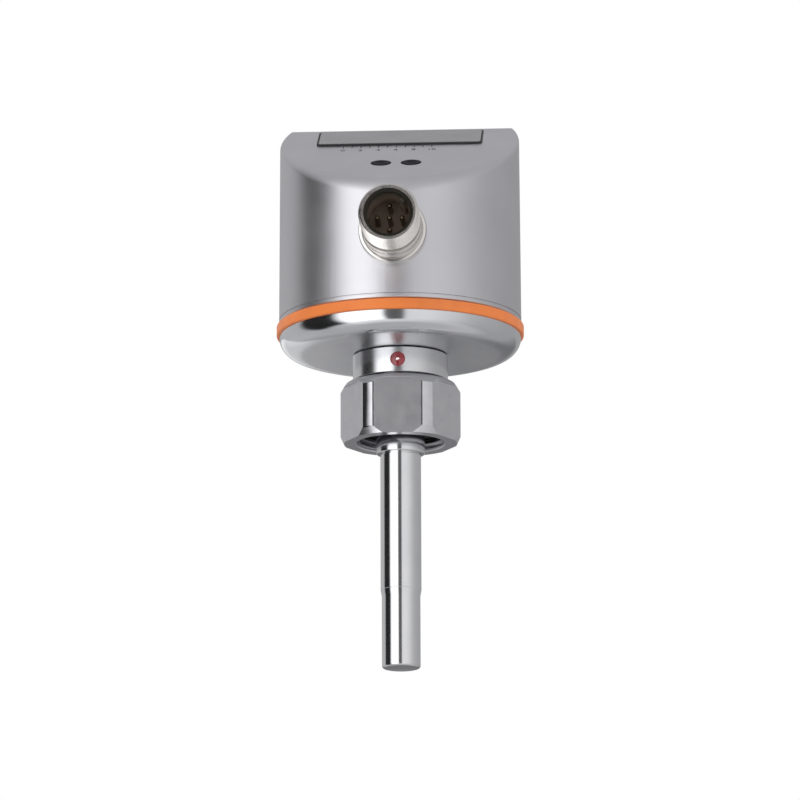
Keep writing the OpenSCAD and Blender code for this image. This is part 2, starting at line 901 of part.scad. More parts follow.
module connector_lock_nut() {
    color([0.78, 0.77, 0.72])
        on_connector(lock_nut_front - lock_nut_t)
            difference() {
                rotate([0, 0, 30])
                    cylinder(r = lock_nut_af / 2 / cos(30), h = lock_nut_t, $fn = 6);
                translate([0, 0, -cut])
                    cylinder(d = shank_d + 2 * fit, h = lock_nut_t + 2 * cut, $fn = turned_fn);
            }
}

// Coloured seal ring with rounded outer edges
module seal_ring() {
    color([0.91, 0.53, 0.28])
        revolve() {
            band(spigot_r + fit, ring_r - ring_edge_r, z_ring, z_head);
            band(spigot_r + fit, ring_r, z_ring + ring_edge_r, z_head - ring_edge_r);
            for (z = [z_ring + ring_edge_r, z_head - ring_edge_r])
                translate([ring_r - ring_edge_r, z]) circle(ring_edge_r, $fn = small_fn);
        }
}

// Polished cap: rounded lower edge, flat floor and a spigot inside the head
module base_cap() {
    corner_r = cap_r - cap_edge_r;
    corner_z = z_cap + cap_edge_r;
    color([0.8, 0.81, 0.82])
        revolve()
            difference() {
                union() {
                    band(0, corner_r, z_cap, z_ring);
                    lower_quarter(corner_r, corner_z, cap_edge_r);
                    band(0, cap_r, corner_z, z_ring);
                    band(0, spigot_r, z_ring - cap_edge_r / 2, z_head + spigot_h);
                }
                band(0, cap_inside_r - cap_fillet_r, z_floor, z_head + spigot_h + cut);
                band(0, cap_inside_r, z_floor + cap_fillet_r, z_head + spigot_h + cut);
                lower_quarter(cap_inside_r - cap_fillet_r, z_floor + cap_fillet_r, cap_fillet_r);
                band(0, stem_thread_d / 2 + fit, z_cap - cut, z_floor + cut);
            }
}

module collar_gasket() {
    color([0.08, 0.08, 0.09])
        revolve() band(
            stem_thread_d / 2 + fit,
            collar_d / 2 - gasket_inset,
            z_cap - collar_gasket_t,
            z_cap
        );
}

// Turned collar, socketed over the end of the stem's neck
module collar() {
    radius = collar_d / 2;
    top = z_cap - collar_gasket_t;
    mark_z = (z_collar + top) / 2;
    color([0.8, 0.81, 0.82])
        difference() {
            revolve()
                difference() {
                    polygon([
                        [stem_thread_d / 2 + fit, z_collar],
                        [radius - collar_chamfer, z_collar],
                        [radius, z_collar + collar_chamfer],
                        [radius, top],
                        [stem_thread_d / 2 + fit, top]
                    ]);
                    band(0, neck_d / 2 + fit, z_collar - cut, z_collar + neck_socket);
                }
            translate([0, -radius + mark_depth, mark_z])
                rotate([90, 0, 0])
                    cylinder(d = mark_d + 2 * fit, h = radius, $fn = 2 * small_fn);
        }
}

// Red glossy plug with a domed face in the front of the collar
module orientation_mark() {
    radius = mark_d / 2;
    top = z_cap - collar_gasket_t;
    crown = mark_dome_r - sqrt(pow(mark_dome_r, 2) - pow(radius, 2));
    color([0.7, 0.08, 0.1])
        translate([0, -collar_d / 2 + mark_depth, (z_collar + top) / 2])
            rotate([90, 0, 0])
                rotate_extrude($fn = 2 * small_fn)
                    intersection() {
                        band(0, radius, 0, mark_depth + crown);
                        translate([0, mark_depth + crown - mark_dome_r])
                            circle(mark_dome_r, $fn = turned_fn);
                    }
}

// Turned stem: thread, neck, shoulder, sealing cone and the sleeve that holds the probe
module stem() {
    top = z_floor + stem_wall_top;
    neck_top = z_collar + neck_socket - fit;
    cone_low_r = cone_top_r - cone_h * tan(cone_angle);
    groove_z = z_cone - cone_h / 2;
    groove_half = seal_wire_r + fit;
    color([0.72, 0.73, 0.75])
        revolve()
            difference() {
                polygon([
                    [0, top],
                    [stem_thread_d / 2 - collar_chamfer, top],
                    [stem_thread_d / 2, top - collar_chamfer],
                    [stem_thread_d / 2, neck_top],
                    [neck_d / 2, neck_top],
                    [neck_d / 2, z_shoulder],
                    [shoulder_d / 2, z_shoulder],
                    [shoulder_d / 2, z_cone],
                    [cone_top_r, z_cone],
                    [cone_low_r, z_cone - cone_h],
                    [sleeve_d / 2, z_cone - cone_h],
                    [sleeve_d / 2, -sleeve_drop + sleeve_chamfer],
                    [sleeve_d / 2 - sleeve_chamfer, -sleeve_drop],
                    [0, -sleeve_drop]
                ]);
                band(seal_groove_r, cone_top_r + cut, groove_z - groove_half, groove_z + groove_half);
                band(0, stem_bore_d / 2, -sleeve_drop - cut, top + cut);
                band(0, tube_seat_r + fit, -sleeve_drop - cut, -sleeve_drop + tube_seat);
            }
}

module stem_washer() {
    color([0.75, 0.75, 0.77])
        revolve() band(
            stem_thread_d / 2 + fit,
            stem_washer_d / 2,
            z_floor,
            z_floor + stem_washer_t
        );
}

module stem_lock_nut() {
    color([0.75, 0.75, 0.77])
        translate([0, 0, z_floor + stem_washer_t])
            difference() {
                cylinder(r = stem_nut_af / 2 / cos(30), h = stem_nut_h, $fn = 6);
                translate([0, 0, -cut])
                    cylinder(d = stem_thread_d + 2 * fit, h = stem_nut_h + 2 * cut, $fn = turned_fn);
            }
}

// Rubber ring in the groove of the sealing cone
module cone_seal() {
    color([0.07, 0.07, 0.08])
        revolve()
            translate([seal_groove_r + fit + seal_wire_r, z_cone - cone_h / 2])
                circle(seal_wire_r, $fn = small_fn);
}

// Nut with turned ends and flats milled up to a small ledge, captive between shoulder and collar
module union_nut() {
    corner_r = nut_corner_d / 2;
    bore_r = nut_minor_d / 2;
    color([0.66, 0.66, 0.7])
        difference() {
            intersection() {
                union() {
                    cylinder(r = nut_af / 2 / cos(30), h = nut_h, $fn = 6);
                    translate([0, 0, nut_h - nut_ledge])
                        cylinder(r = nut_af / 2 / cos(30), h = nut_ledge + cut, $fn = turned_fn);
                }
                revolve() polygon([
                    [0, 0],
                    [nut_face_r, 0],
                    [corner_r, nut_bottom_rise],
                    [corner_r, nut_h - nut_top_rise],
                    [nut_top_r, nut_h],
                    [0, nut_h]
                ]);
            }
            revolve() {
                polygon([
                    [0, -cut],
                    [bore_r + nut_mouth_chamfer + cut, -cut],
                    [bore_r, nut_mouth_chamfer],
                    [bore_r, z_web],
                    [0, z_web]
                ]);
                band(0, bore_r + nut_thread_pitch / 2, z_web - nut_relief_l, z_web);
                band(0, neck_d / 2 + neck_gap, 0, nut_h + cut);
            }
        }
}

// Tube with a thinner end that is seated in the sleeve
module probe_tube() {
    bore_r = probe_d / 2 - tube_wall;
    color([0.8, 0.81, 0.83])
        revolve() {
            band(bore_r, probe_d / 2, z_joint, -sleeve_drop - tube_neck_l);
            band(bore_r, tube_seat_r, z_joint, -sleeve_drop + tube_seat - fit);
        }
}

// Closed sensing tip with a short taper and a spigot inside the tube
module probe_tip() {
    radius = tip_d / 2;
    inner = radius - tip_wall;
    color([0.8, 0.81, 0.83])
        revolve()
            difference() {
                union() {
                    polygon([
                        [0, z_joint - tip_taper_l],
                        [radius, z_joint - tip_taper_l],
                        [probe_d / 2, z_joint],
                        [0, z_joint]
                    ]);
                    band(0, probe_d / 2 - tube_wall - fit, z_joint, z_joint + tip_spigot_l);
                    band(0, radius, z_tip + tip_edge_r, z_joint - tip_taper_l);
                    band(0, radius - tip_edge_r, z_tip, z_tip + tip_edge_r);
                    lower_quarter(radius - tip_edge_r, z_tip + tip_edge_r, tip_edge_r);
                }
                band(0, inner, z_tip + tip_floor, z_joint + tip_spigot_l + cut);
            }
}

// Ceramic plate across the tip's bore
z_substrate = z_tip + tip_floor;
module sensor_substrate() {
    half_w = sqrt(pow(tip_d / 2 - tip_wall - substrate_gap, 2) - pow(substrate_t / 2, 2));
    color([0.93, 0.93, 0.9])
        translate([-half_w, -substrate_t / 2, z_substrate])
            cube([2 * half_w, substrate_t, substrate_l]);
}

module heater_element() {
    color([0.55, 0.35, 0.2])
        translate([-heater_w / 2, substrate_t / 2, z_substrate + heater_t])
            cube([heater_w, heater_t, heater_l]);
}

// The measuring sensor opposite the heater and the reference sensor farther up
module temperature_sensors() {
    color([0.85, 0.85, 0.8])
        for (z = [z_substrate + heater_t + heater_l / 2, z_substrate + reference_rise])
            translate([-sensor_w / 2, -substrate_t / 2 - sensor_t, z - sensor_l / 2])
                cube([sensor_w, sensor_t, sensor_l]);
}

// Four wires from the ceramic plate through the stem to the main board
module sensor_leads() {
    start = z_substrate + substrate_l - lead_solder_l;
    wire_y = -substrate_t / 2 - lead_d / 2;
    color([0.75, 0.2, 0.15])
        for (i = [0:lead_count - 1])
            translate([(i - (lead_count - 1) / 2) * lead_pitch, wire_y, 0]) {
                translate([0, 0, start])
                    cylinder(d = lead_d, h = lead_turn_z - start, $fn = small_fn);
                translate([0, 0, lead_turn_z]) sphere(d = lead_d, $fn = small_fn);
                translate([0, 0, lead_turn_z])
                    rotate([90, 0, 0])
                        cylinder(d = lead_d, h = main_back + wire_y, $fn = small_fn);
            }
}

head_shell();
display_window();
window_gasket();
light_mask();
left_button();
right_button();
button_seals();
tactile_switches();
display_board();
led_bar();
processor_chip();
ribbon_cable();
ribbon_sockets();
main_board();
capacitors();
voltage_regulator();
board_carrier();
connector_shell();
connector_insert();
contact_pins();
connector_gasket();
connector_lock_nut();
seal_ring();
base_cap();
collar_gasket();
collar();
orientation_mark();
stem();
stem_washer();
stem_lock_nut();
cone_seal();
union_nut();
probe_tube();
probe_tip();
sensor_substrate();
heater_element();
temperature_sensors();
sensor_leads();
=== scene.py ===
import json
import math

import bpy
from mathutils import Matrix, Quaternion, Vector

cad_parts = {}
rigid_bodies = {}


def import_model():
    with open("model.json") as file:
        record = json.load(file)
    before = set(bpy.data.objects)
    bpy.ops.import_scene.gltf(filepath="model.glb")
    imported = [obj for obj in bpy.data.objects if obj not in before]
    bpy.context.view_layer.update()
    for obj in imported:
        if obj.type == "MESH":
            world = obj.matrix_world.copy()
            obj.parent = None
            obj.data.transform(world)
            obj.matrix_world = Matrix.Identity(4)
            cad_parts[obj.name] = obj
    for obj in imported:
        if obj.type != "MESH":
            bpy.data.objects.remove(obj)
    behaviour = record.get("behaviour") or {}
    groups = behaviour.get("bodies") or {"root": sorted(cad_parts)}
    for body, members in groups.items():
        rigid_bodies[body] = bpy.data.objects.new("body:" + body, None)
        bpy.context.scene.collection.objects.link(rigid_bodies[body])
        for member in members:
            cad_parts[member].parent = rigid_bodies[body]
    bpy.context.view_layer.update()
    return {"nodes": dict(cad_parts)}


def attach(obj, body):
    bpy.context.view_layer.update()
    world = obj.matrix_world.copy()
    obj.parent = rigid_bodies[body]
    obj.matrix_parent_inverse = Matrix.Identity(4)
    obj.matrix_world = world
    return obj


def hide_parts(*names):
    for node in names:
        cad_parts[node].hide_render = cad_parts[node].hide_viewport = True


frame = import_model()
mm = 0.001
weldDistance = 0.002
# a thread ridge's foot and tip, as shares of its pitch, and its steps per turn
ridgeFoot, ridgeTip, ridgeSteps = 0.92, 0.14, 96
print("frame loaded:", len(frame["nodes"]), "CAD nodes")


# modelling by hand, one step each

def deselectAll():
    for thing in list(bpy.context.selected_objects):
        thing.select_set(False)
    bpy.context.view_layer.objects.active = None


def choose(thing):
    deselectAll()
    thing.select_set(True)
    bpy.context.view_layer.objects.active = thing


def editing(on=True):
    bpy.ops.object.mode_set(mode="EDIT" if on else "OBJECT")


def selectAll():
    bpy.ops.mesh.select_all(action="SELECT")


def named(name):
    thing = bpy.context.object
    thing.name = thing.data.name = name
    return thing


def copied(thing):
    choose(thing)
    bpy.ops.object.duplicate()
    return bpy.context.object


def deselectParts(kind):
    editing()
    bpy.ops.mesh.select_mode(type=kind)
    bpy.ops.mesh.select_all(action="DESELECT")
    editing(False)


def selectFaces(thing, wanted):
    # wanted(centre, normal) picks the faces, in metres
    deselectParts("FACE")
    for face in thing.data.polygons:
        face.select = bool(wanted(face.center, face.normal))
    editing()


def selectEdges(thing, wanted):
    # wanted(start, end) picks the edges, in metres
    deselectParts("EDGE")
    points = thing.data.vertices
    for edge in thing.data.edges:
        edge.select = bool(wanted(*[points[i].co for i in edge.vertices]))
    editing()


def applied(thing, kind, **settings):
    choose(thing)
    step = thing.modifiers.new(kind.lower(), kind)
    for key, value in settings.items():
        setattr(step, key, value)
    bpy.ops.object.modifier_apply(modifier=step.name)
    return thing


def carved(thing, cutter, operation="DIFFERENCE"):
    applied(thing, "BOOLEAN", operation=operation, solver="EXACT", object=cutter)
    bpy.data.objects.remove(cutter)
    return thing


def bevelled(thing, width, segments=2, angle=35):
    return applied(
        thing, "BEVEL", width=width * mm, segments=segments, limit_method="ANGLE",
        angle_limit=math.radians(angle), use_clamp_overlap=True, miter_outer="MITER_ARC",
    )


def smoothed(thing, angle=32):
    choose(thing)
    bpy.ops.object.shade_smooth_by_angle(angle=math.radians(angle))
    return applied(thing, "WEIGHTED_NORMAL", mode="FACE_AREA", weight=60, keep_sharp=True)


def placed(thing, location=(0, 0, 0), rotation=(0, 0, 0)):
    # moves a piece to its place and leaves that place in the mesh
    choose(thing)
    thing.location = [v * mm for v in location]
    thing.rotation_euler = [math.radians(v) for v in rotation]
    bpy.ops.object.transform_apply(location=True, rotation=True, scale=True)
    return thing


def startPoint(name, r, z):
    # a plane merged into the one vertex that an outline is drawn from
    deselectAll()
    bpy.ops.mesh.primitive_plane_add(size=mm, location=(r * mm, 0, z * mm))
    thing = named(name)
    bpy.ops.object.transform_apply(location=True, rotation=False, scale=False)
    editing()
    bpy.ops.mesh.select_mode(type="VERT")
    selectAll()
    bpy.ops.mesh.merge(type="CENTER")
    return thing


def drawOn(dr, dz):
    bpy.ops.mesh.extrude_vertices_move(TRANSFORM_OT_translate={"value": (dr * mm, 0, dz * mm)})


def weld():
    selectAll()
    bpy.ops.mesh.remove_doubles(threshold=weldDistance * mm)
    bpy.ops.mesh.normals_make_consistent(inside=False)
    editing(False)


def turned(name, outline, steps=160):
    # (radius, height) points in mm, drawn from one corner and spun round Z
    thing = startPoint(name, *outline[0])
    for (r0, z0), (r1, z1) in zip(outline, outline[1:]):
        drawOn(r1 - r0, z1 - z0)
    selectAll()
    bpy.ops.mesh.spin(steps=steps, angle=math.tau, center=(0, 0, 0), axis=(0, 0, 1))
    weld()
    return thing


def turnedRing(name, outline, steps=160):
    return turned(name, outline + outline[:1], steps)


def arc(centreR, centreZ, radius, start, end, count=8):
    # points of a rounding in a turned outline, angles in degrees from outwards
    return [
        (centreR + radius * math.cos(math.radians(a)), centreZ + radius * math.sin(math.radians(a)))
        for a in [start + (end - start) * i / count for i in range(count + 1)]
    ]


def helix(radius, height, pitch, turns, start, outwards=1):
    # one thread ridge: its blunt profile is drawn by extrusion and screwed round Z
    thing = startPoint("ridge", radius, start)
    flank, rise = pitch * (ridgeFoot - ridgeTip) / 2, outwards * height
    for dr, dz in ((rise, flank), (0, pitch * ridgeTip), (-rise, flank)):
        drawOn(dr, dz)
    selectAll()
    bpy.ops.mesh.edge_face_add()
    editing(False)
    applied(
        thing, "SCREW", screw_offset=pitch * mm, iterations=turns, steps=ridgeSteps,
        render_steps=ridgeSteps, axis="Z", use_merge_vertices=False, use_normal_calculate=True,
    )
    choose(thing)
    editing()
    weld()
    return thing


def plate(name, width, length, corner, height):
    # a plane pulled up, with bevelled corners where a corner radius is given
    deselectAll()
    bpy.ops.mesh.primitive_plane_add(size=mm)
    thing = named(name)
    editing()
    bpy.ops.mesh.select_mode(type="VERT")
    selectAll()
    bpy.ops.transform.resize(value=(width, length, 1))
    if corner:
        bpy.ops.mesh.bevel(offset=corner * mm, segments=10, affect="VERTICES")
    selectAll()
    bpy.ops.mesh.extrude_region_move(TRANSFORM_OT_translate={"value": (0, 0, height * mm)})
    selectAll()
    bpy.ops.mesh.normals_make_consistent(inside=False)
    editing(False)
    return thing


def cylinder(name, radius, depth, sides, centre=0.0, turn=0.0):
    deselectAll()
    bpy.ops.mesh.primitive_cylinder_add(
        vertices=sides, radius=radius * mm, depth=depth * mm,
        location=(0, 0, centre * mm), rotation=(0, 0, math.radians(turn)),
    )
    thing = named(name)
    bpy.ops.object.transform_apply(location=True, rotation=True)
    return thing


def joined(thing, *others):
    choose(thing)
    for other in others:
        other.select_set(True)
    bpy.ops.object.join()
    return thing


def standsFor(thing, body, slotName, finish, *nodes):
    thing.data.materials.clear()
    thing.data.materials.append(finishes[finish])
    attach(thing, body)
    if nodes:
        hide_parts(*nodes)
    return thing


# finishes: every one is made of nodes on Object coordinates

def newFinish(name):
    material = bpy.data.materials.new(name)
    material.use_nodes = True
    tree = material.node_tree
    tree.nodes.clear()
    out = tree.nodes.new("ShaderNodeOutputMaterial")
    shader = tree.nodes.new("ShaderNodeBsdfPrincipled")
    tree.links.new(shader.outputs[0], out.inputs[0])
    where = tree.nodes.new("ShaderNodeTexCoord")
    return material, tree, shader, where


def wired(tree, kind, inputs, **settings):
    # a new node, whose inputs are constants or the sockets that feed them
    node = tree.nodes.new("ShaderNode" + kind)
    for key, value in settings.items():
        setattr(node, key, value)
    for key, value in inputs.items():
        if isinstance(value, bpy.types.NodeSocket):
            tree.links.new(value, node.inputs[key])
        else:
            node.inputs[key].default_value = value
    return node


def noise(tree, where, scale, stretch=(1, 1, 1), detail=3):
    spread = wired(tree, "Mapping", {"Vector": where.outputs["Object"], "Scale": stretch})
    return wired(tree, "TexNoise", {"Vector": spread.outputs[0], "Scale": scale, "Detail": detail}).outputs[0]


def ranged(tree, value, low, high, fromLow=0.3, fromHigh=0.7):
    inputs = {"Value": value, "From Min": fromLow, "From Max": fromHigh, "To Min": low, "To Max": high}
    return wired(tree, "MapRange", inputs).outputs[0]


def blended(tree, value, first, second):
    # first and second are sockets or colours
    first, second = [(*colour, 1) if isinstance(colour, tuple) else colour for colour in (first, second)]
    return wired(tree, "Mix", {0: value, 6: first, 7: second}, data_type="RGBA").outputs[2]


def raised(tree, shader, value, depth, strength=1.0, after=None):
    inputs = {"Height": value, "Strength": strength, "Distance": depth * mm}
    if after:
        inputs["Normal"] = after
    bump = wired(tree, "Bump", inputs).outputs[0]
    tree.links.new(bump, shader.inputs["Normal"])
    return bump


def mathNode(tree, operation, first, second):
    return wired(tree, "Math", {0: first, 1: second}, operation=operation).outputs[0]


def split(tree, vector):
    return wired(tree, "SeparateXYZ", {0: vector}).outputs


def axisDistance(tree, where):
    flat = wired(tree, "VectorMath", {0: where.outputs["Object"], 1: (1, 1, 0)}, operation="MULTIPLY")
    return wired(tree, "VectorMath", {0: flat.outputs[0]}, operation="LENGTH").outputs["Value"]


def smoothWhereTurned(tree, where, rough, look):
    # outside a radius the turned metal shines: a nut's corners, a cap's rim
    edge = look["turnedRadius"] * mm
    outside = ranged(tree, axisDistance(tree, where), 0, 1, edge, edge + look["turnedFade"] * mm)
    inputs = {0: outside, 2: rough, 3: look["turnedRoughness"]}
    return wired(tree, "Mix", inputs, data_type="FLOAT").outputs[0]


def metalFinish(name, look):
    # a metal whose grain follows the tool, with faint cloudiness
    material, tree, shader, where = newFinish(name)
    shader.inputs["Metallic"].default_value = 1.0
    clouds = noise(tree, where, look["cloudScale"], detail=4)
    colour = blended(tree, ranged(tree, clouds, 0, 1), look["colour"], look["otherColour"])
    if "threadRadius" in look:
        # painted shade: the thread is painted dark behind its first turn, where shade falls in the bore
        edge = look["threadRadius"] * mm
        within = ranged(tree, axisDistance(tree, where), 0, 1, edge + 0.05 * mm, edge)
        near, far = look["threadShadeDepths"]
        above = ranged(tree, split(tree, where.outputs["Object"])["Z"], 0, 1, near * mm, far * mm)
        colour = blended(tree, mathNode(tree, "MULTIPLY", within, above), colour, look["threadPaintedShade"])
    tree.links.new(colour, shader.inputs["Base Color"])
    grain = noise(tree, where, look["grainScale"], look.get("grainStretch", (1, 1, 1)), detail=2)
    low, high = look["roughness"]
    half = (high - low) / 2
    rough = mathNode(tree, "ADD", ranged(tree, grain, low, low + half), ranged(tree, clouds, 0, half))
    if "turnedRadius" in look:
        rough = smoothWhereTurned(tree, where, rough, look)
    tree.links.new(rough, shader.inputs["Roughness"])
    first = raised(tree, shader, grain, look["grainDepth"], look["grainStrength"])
    if "waveDepth" in look:
        raised(tree, shader, noise(tree, where, look["waveScale"], detail=1), look["waveDepth"], 1.0, first)
    return material


def plasticFinish(name, look):
    # a moulded surface: fine spark-eroded grain and slight colour variation
    material, tree, shader, where = newFinish(name)
    clouds = noise(tree, where, 300)
    colour = blended(tree, ranged(tree, clouds, 0, 1), look["colour"], look["otherColour"])
    if "mouthPaintedShade" in look:
        # painted shade: the moulding is painted near-black towards the connector's mouth
        near, far = look["mouthShadeDepths"]
        depth = ranged(tree, split(tree, where.outputs["Object"])["Y"], 0, 1, near * mm, far * mm)
        colour = blended(tree, depth, look["mouthPaintedShade"], colour)
    tree.links.new(colour, shader.inputs["Base Color"])
    tree.links.new(ranged(tree, clouds, *look["roughness"]), shader.inputs["Roughness"])
    shader.inputs["IOR"].default_value = look.get("ior", 1.5)
    shader.inputs["Coat Weight"].default_value = look.get("coat", 0.0)
    shader.inputs["Coat Roughness"].default_value = 0.05
    shader.inputs["Sheen Weight"].default_value = look.get("sheen", 0.0)
    grain = noise(tree, where, 6000, detail=2)
    raised(tree, shader, grain, look.get("grainDepth", 0.01), look.get("grainStrength", 0.4))
    return material


def boardFinish(name, look):
    # solder mask over faint copper tracks, with a woven laminate under it
    material, tree, shader, where = newFinish(name)
    spread = wired(tree, "Mapping", {"Vector": where.outputs["Object"], "Rotation": (math.radians(90), 0, 0)})
    tracks = wired(tree, "TexBrick", {
        "Vector": spread.outputs[0], "Scale": look["trackScale"], "Mortar Size": 0.03,
        "Color1": (*look["colour"], 1), "Color2": (*look["otherColour"], 1), "Mortar": (*look["trackColour"], 1),
    })
    tree.links.new(tracks.outputs[0], shader.inputs["Base Color"])
    weave = noise(tree, where, 2500, detail=1)
    tree.links.new(ranged(tree, weave, 0.25, 0.4), shader.inputs["Roughness"])
    shader.inputs["Coat Weight"].default_value = 0.4
    raised(tree, shader, tracks.outputs["Fac"], 0.03, 0.5)
    return material


looks = {
    "headSteel": {
        "colour": (0.665, 0.66, 0.69), "otherColour": (0.71, 0.705, 0.73), "roughness": (0.33, 0.42),
        "cloudScale": 90, "grainScale": 2400, "grainStretch": (0.06, 0.06, 5),
        "grainDepth": 0.002, "grainStrength": 0.12,
    },
    "polishedSteel": {
        "colour": (0.74, 0.745, 0.76), "otherColour": (0.80, 0.80, 0.81), "roughness": (0.10, 0.14),
        "cloudScale": 160, "grainScale": 1200, "grainStretch": (0.1, 0.1, 6),
        "grainDepth": 0.002, "grainStrength": 0.25,
    },
    "capSteel": {
        "colour": (0.71, 0.72, 0.74), "otherColour": (0.77, 0.77, 0.79), "roughness": (0.31, 0.38),
        "cloudScale": 120, "grainScale": 1500, "grainStretch": (1, 1, 6),
        "grainDepth": 0.002, "grainStrength": 0.08,
        "turnedRadius": 19.8, "turnedFade": 2.0, "turnedRoughness": 0.13,
    },
    "nutSteel": {
        "colour": (0.66, 0.66, 0.69), "otherColour": (0.72, 0.72, 0.74), "roughness": (0.27, 0.30),
        "cloudScale": 420, "grainScale": 1600, "grainStretch": (1, 1, 0.25),
        "grainDepth": 0.003, "grainStrength": 0.1, "waveScale": 260, "waveDepth": 0.045,
        "turnedRadius": 11.96, "turnedFade": 0.06, "turnedRoughness": 0.1,
        # the thread's dark colour deep in the bore is painted shade
        "threadRadius": 8.95, "threadPaintedShade": (0.19, 0.19, 0.20), "threadShadeDepths": (0.6, 1.6),
    },
    "collarSteel": {
        "colour": (0.70, 0.705, 0.72), "otherColour": (0.76, 0.76, 0.77), "roughness": (0.19, 0.24),
        "cloudScale": 200, "grainScale": 1500, "grainStretch": (0.1, 0.1, 5),
        "grainDepth": 0.002, "grainStrength": 0.2,
    },
    "nickel": {
        "colour": (0.72, 0.69, 0.66), "otherColour": (0.79, 0.76, 0.73), "roughness": (0.16, 0.26),
        "cloudScale": 300, "grainScale": 2200,
        "grainDepth": 0.004, "grainStrength": 0.4,
    },
    "drawnCan": {
        "colour": (0.75, 0.76, 0.78), "otherColour": (0.82, 0.82, 0.84), "roughness": (0.25, 0.4),
        "cloudScale": 300, "grainScale": 1500, "grainStretch": (1, 0.2, 1),
        "grainDepth": 0.006, "grainStrength": 0.4,
    },
    # gold plating painted dark as shade, for the pins deep in the connector's mouth
    "goldPlatingPaintedShade": {
        "colour": (0.15, 0.12, 0.08), "otherColour": (0.21, 0.165, 0.11), "roughness": (0.28, 0.38),
        "cloudScale": 400, "grainScale": 2500,
        "grainDepth": 0.003, "grainStrength": 0.3,
    },
}
finishes = {name: metalFinish(name, look) for name, look in looks.items()}

moulded = {
    "orangeRubber": {
        "colour": (0.88, 0.235, 0.045), "otherColour": (0.80, 0.205, 0.04), "roughness": (0.34, 0.46),
        "grainDepth": 0.012, "grainStrength": 0.5, "sheen": 0.05,
    },
    "blackRubber": {
        "colour": (0.012, 0.012, 0.014), "otherColour": (0.022, 0.022, 0.024), "roughness": (0.45, 0.62),
        "grainDepth": 0.015, "grainStrength": 0.5,
    },
    "redGloss": {
        "colour": (0.36, 0.012, 0.022), "otherColour": (0.30, 0.01, 0.018), "roughness": (0.12, 0.18),
        "coat": 1.0, "grainDepth": 0.002, "grainStrength": 0.2,
    },
    "blackPlastic": {
        "colour": (0.014, 0.014, 0.017), "otherColour": (0.022, 0.022, 0.026), "roughness": (0.35, 0.5),
        "grainDepth": 0.01, "grainStrength": 0.5,
    },
    "insertPlastic": {
        "colour": (0.30, 0.235, 0.18), "otherColour": (0.38, 0.30, 0.235), "roughness": (0.45, 0.6),
        # the near-black colour at the mouth is painted shade
        "ior": 1.3, "grainDepth": 0.01, "grainStrength": 0.5, "mouthPaintedShade": (0.018, 0.017, 0.012),
        "mouthShadeDepths": (-39.4, -34.0),
    },
    "keyPlastic": {
        "colour": (0.006, 0.006, 0.008), "otherColour": (0.010, 0.010, 0.012), "roughness": (0.5, 0.65),
        "ior": 1.28, "grainDepth": 0.02, "grainStrength": 0.6,
    },
    "componentPlastic": {
        "colour": (0.02, 0.02, 0.02), "otherColour": (0.032, 0.032, 0.032), "roughness": (0.45, 0.6),
        "grainDepth": 0.02, "grainStrength": 0.6,
    },
    "ivoryPlastic": {
        "colour": (0.70, 0.66, 0.54), "otherColour": (0.75, 0.71, 0.60), "roughness": (0.4, 0.5),
    },
    "diodeResin": {
        "colour": (0.85, 0.84, 0.62), "otherColour": (0.9, 0.89, 0.7), "roughness": (0.1, 0.2), "coat": 0.6,
    },
    "firedCeramic": {
        "colour": (0.84, 0.84, 0.80), "otherColour": (0.78, 0.78, 0.74), "roughness": (0.5, 0.65),
        "grainDepth": 0.02, "grainStrength": 0.6,
    },
    "heaterFilm": {
        "colour": (0.28, 0.12, 0.05), "otherColour": (0.22, 0.09, 0.035), "roughness": (0.35, 0.5),
    },
    "wireRed": {
        "colour": (0.52, 0.04, 0.02), "otherColour": (0.46, 0.03, 0.018), "roughness": (0.35, 0.5),
    },
    "printInk": {
        "colour": (0.035, 0.037, 0.045), "otherColour": (0.05, 0.052, 0.06), "roughness": (0.5, 0.65),
    },
}
finishes.update({name: plasticFinish(name, look) for name, look in moulded.items()})
finishes["solderMask"] = boardFinish("solderMask", {
    "colour": (0.012, 0.10, 0.045), "otherColour": (0.010, 0.085, 0.038), "trackColour": (0.02, 0.17, 0.07),
    "trackScale": 260,
})


def windowFinish(name, look):
    # smoky acrylic: dark body, clear hard surface, faint haze
    material, tree, shader, where = newFinish(name)
    haze = noise(tree, where, look["hazeScale"])
    colour = blended(tree, ranged(tree, haze, 0, 1), look["colour"], look["otherColour"])
    tree.links.new(colour, shader.inputs["Base Color"])
    tree.links.new(ranged(tree, haze, *look["roughness"]), shader.inputs["Roughness"])
    shader.inputs["IOR"].default_value = 1.49
    shader.inputs["Coat Weight"].default_value = 0.6
    shader.inputs["Coat Roughness"].default_value = 0.03
    raised(tree, shader, haze, look["grainDepth"], look["grainStrength"])
    return material


finishes["smokyWindow"] = windowFinish("smokyWindow", {
    "colour": (0.13, 0.13, 0.14), "otherColour": (0.17, 0.17, 0.18), "roughness": (0.05, 0.10),
    "hazeScale": 220, "grainDepth": 0.01, "grainStrength": 0.2,
})
print("finishes made:", len(finishes))


# the head: tapered wall and sloping panel, with a rounding that is softest at the panel's low front
head = {
    "footRadius": 24.5, "topRadius": 24.25, "footHeight": 24.3, "topHeight": 67.64,
    "panelLow": 48.576, "panelTilt": 30.5, "frontRounding": 4.4, "backRounding": 0.45, "roundingFade": 4,
    "footRounding": 0.6, "grooveHeight": 25.34, "grooveHalf": 0.16, "grooveDepth": 0.2,
    "hollowRounding": (0.6, 0.3), "wall": 1.5, "holeEdge": 0.1, "sides": 192,
}
tilt = math.radians(head["panelTilt"])
headHeight = head["topHeight"] - head["footHeight"]
headTaper = (head["footRadius"] - head["topRadius"]) / headHeight
panelRadius = head["footRadius"] - headTaper * (head["panelLow"] - head["footHeight"])
panelLength = (head["topHeight"] - head["panelLow"]) / math.sin(tilt)
panelEdge = Vector((0, -panelRadius, head["panelLow"])) * mm
panelFrame = Matrix.Translation(panelEdge) @ Matrix.Rotation(tilt, 4, "X")


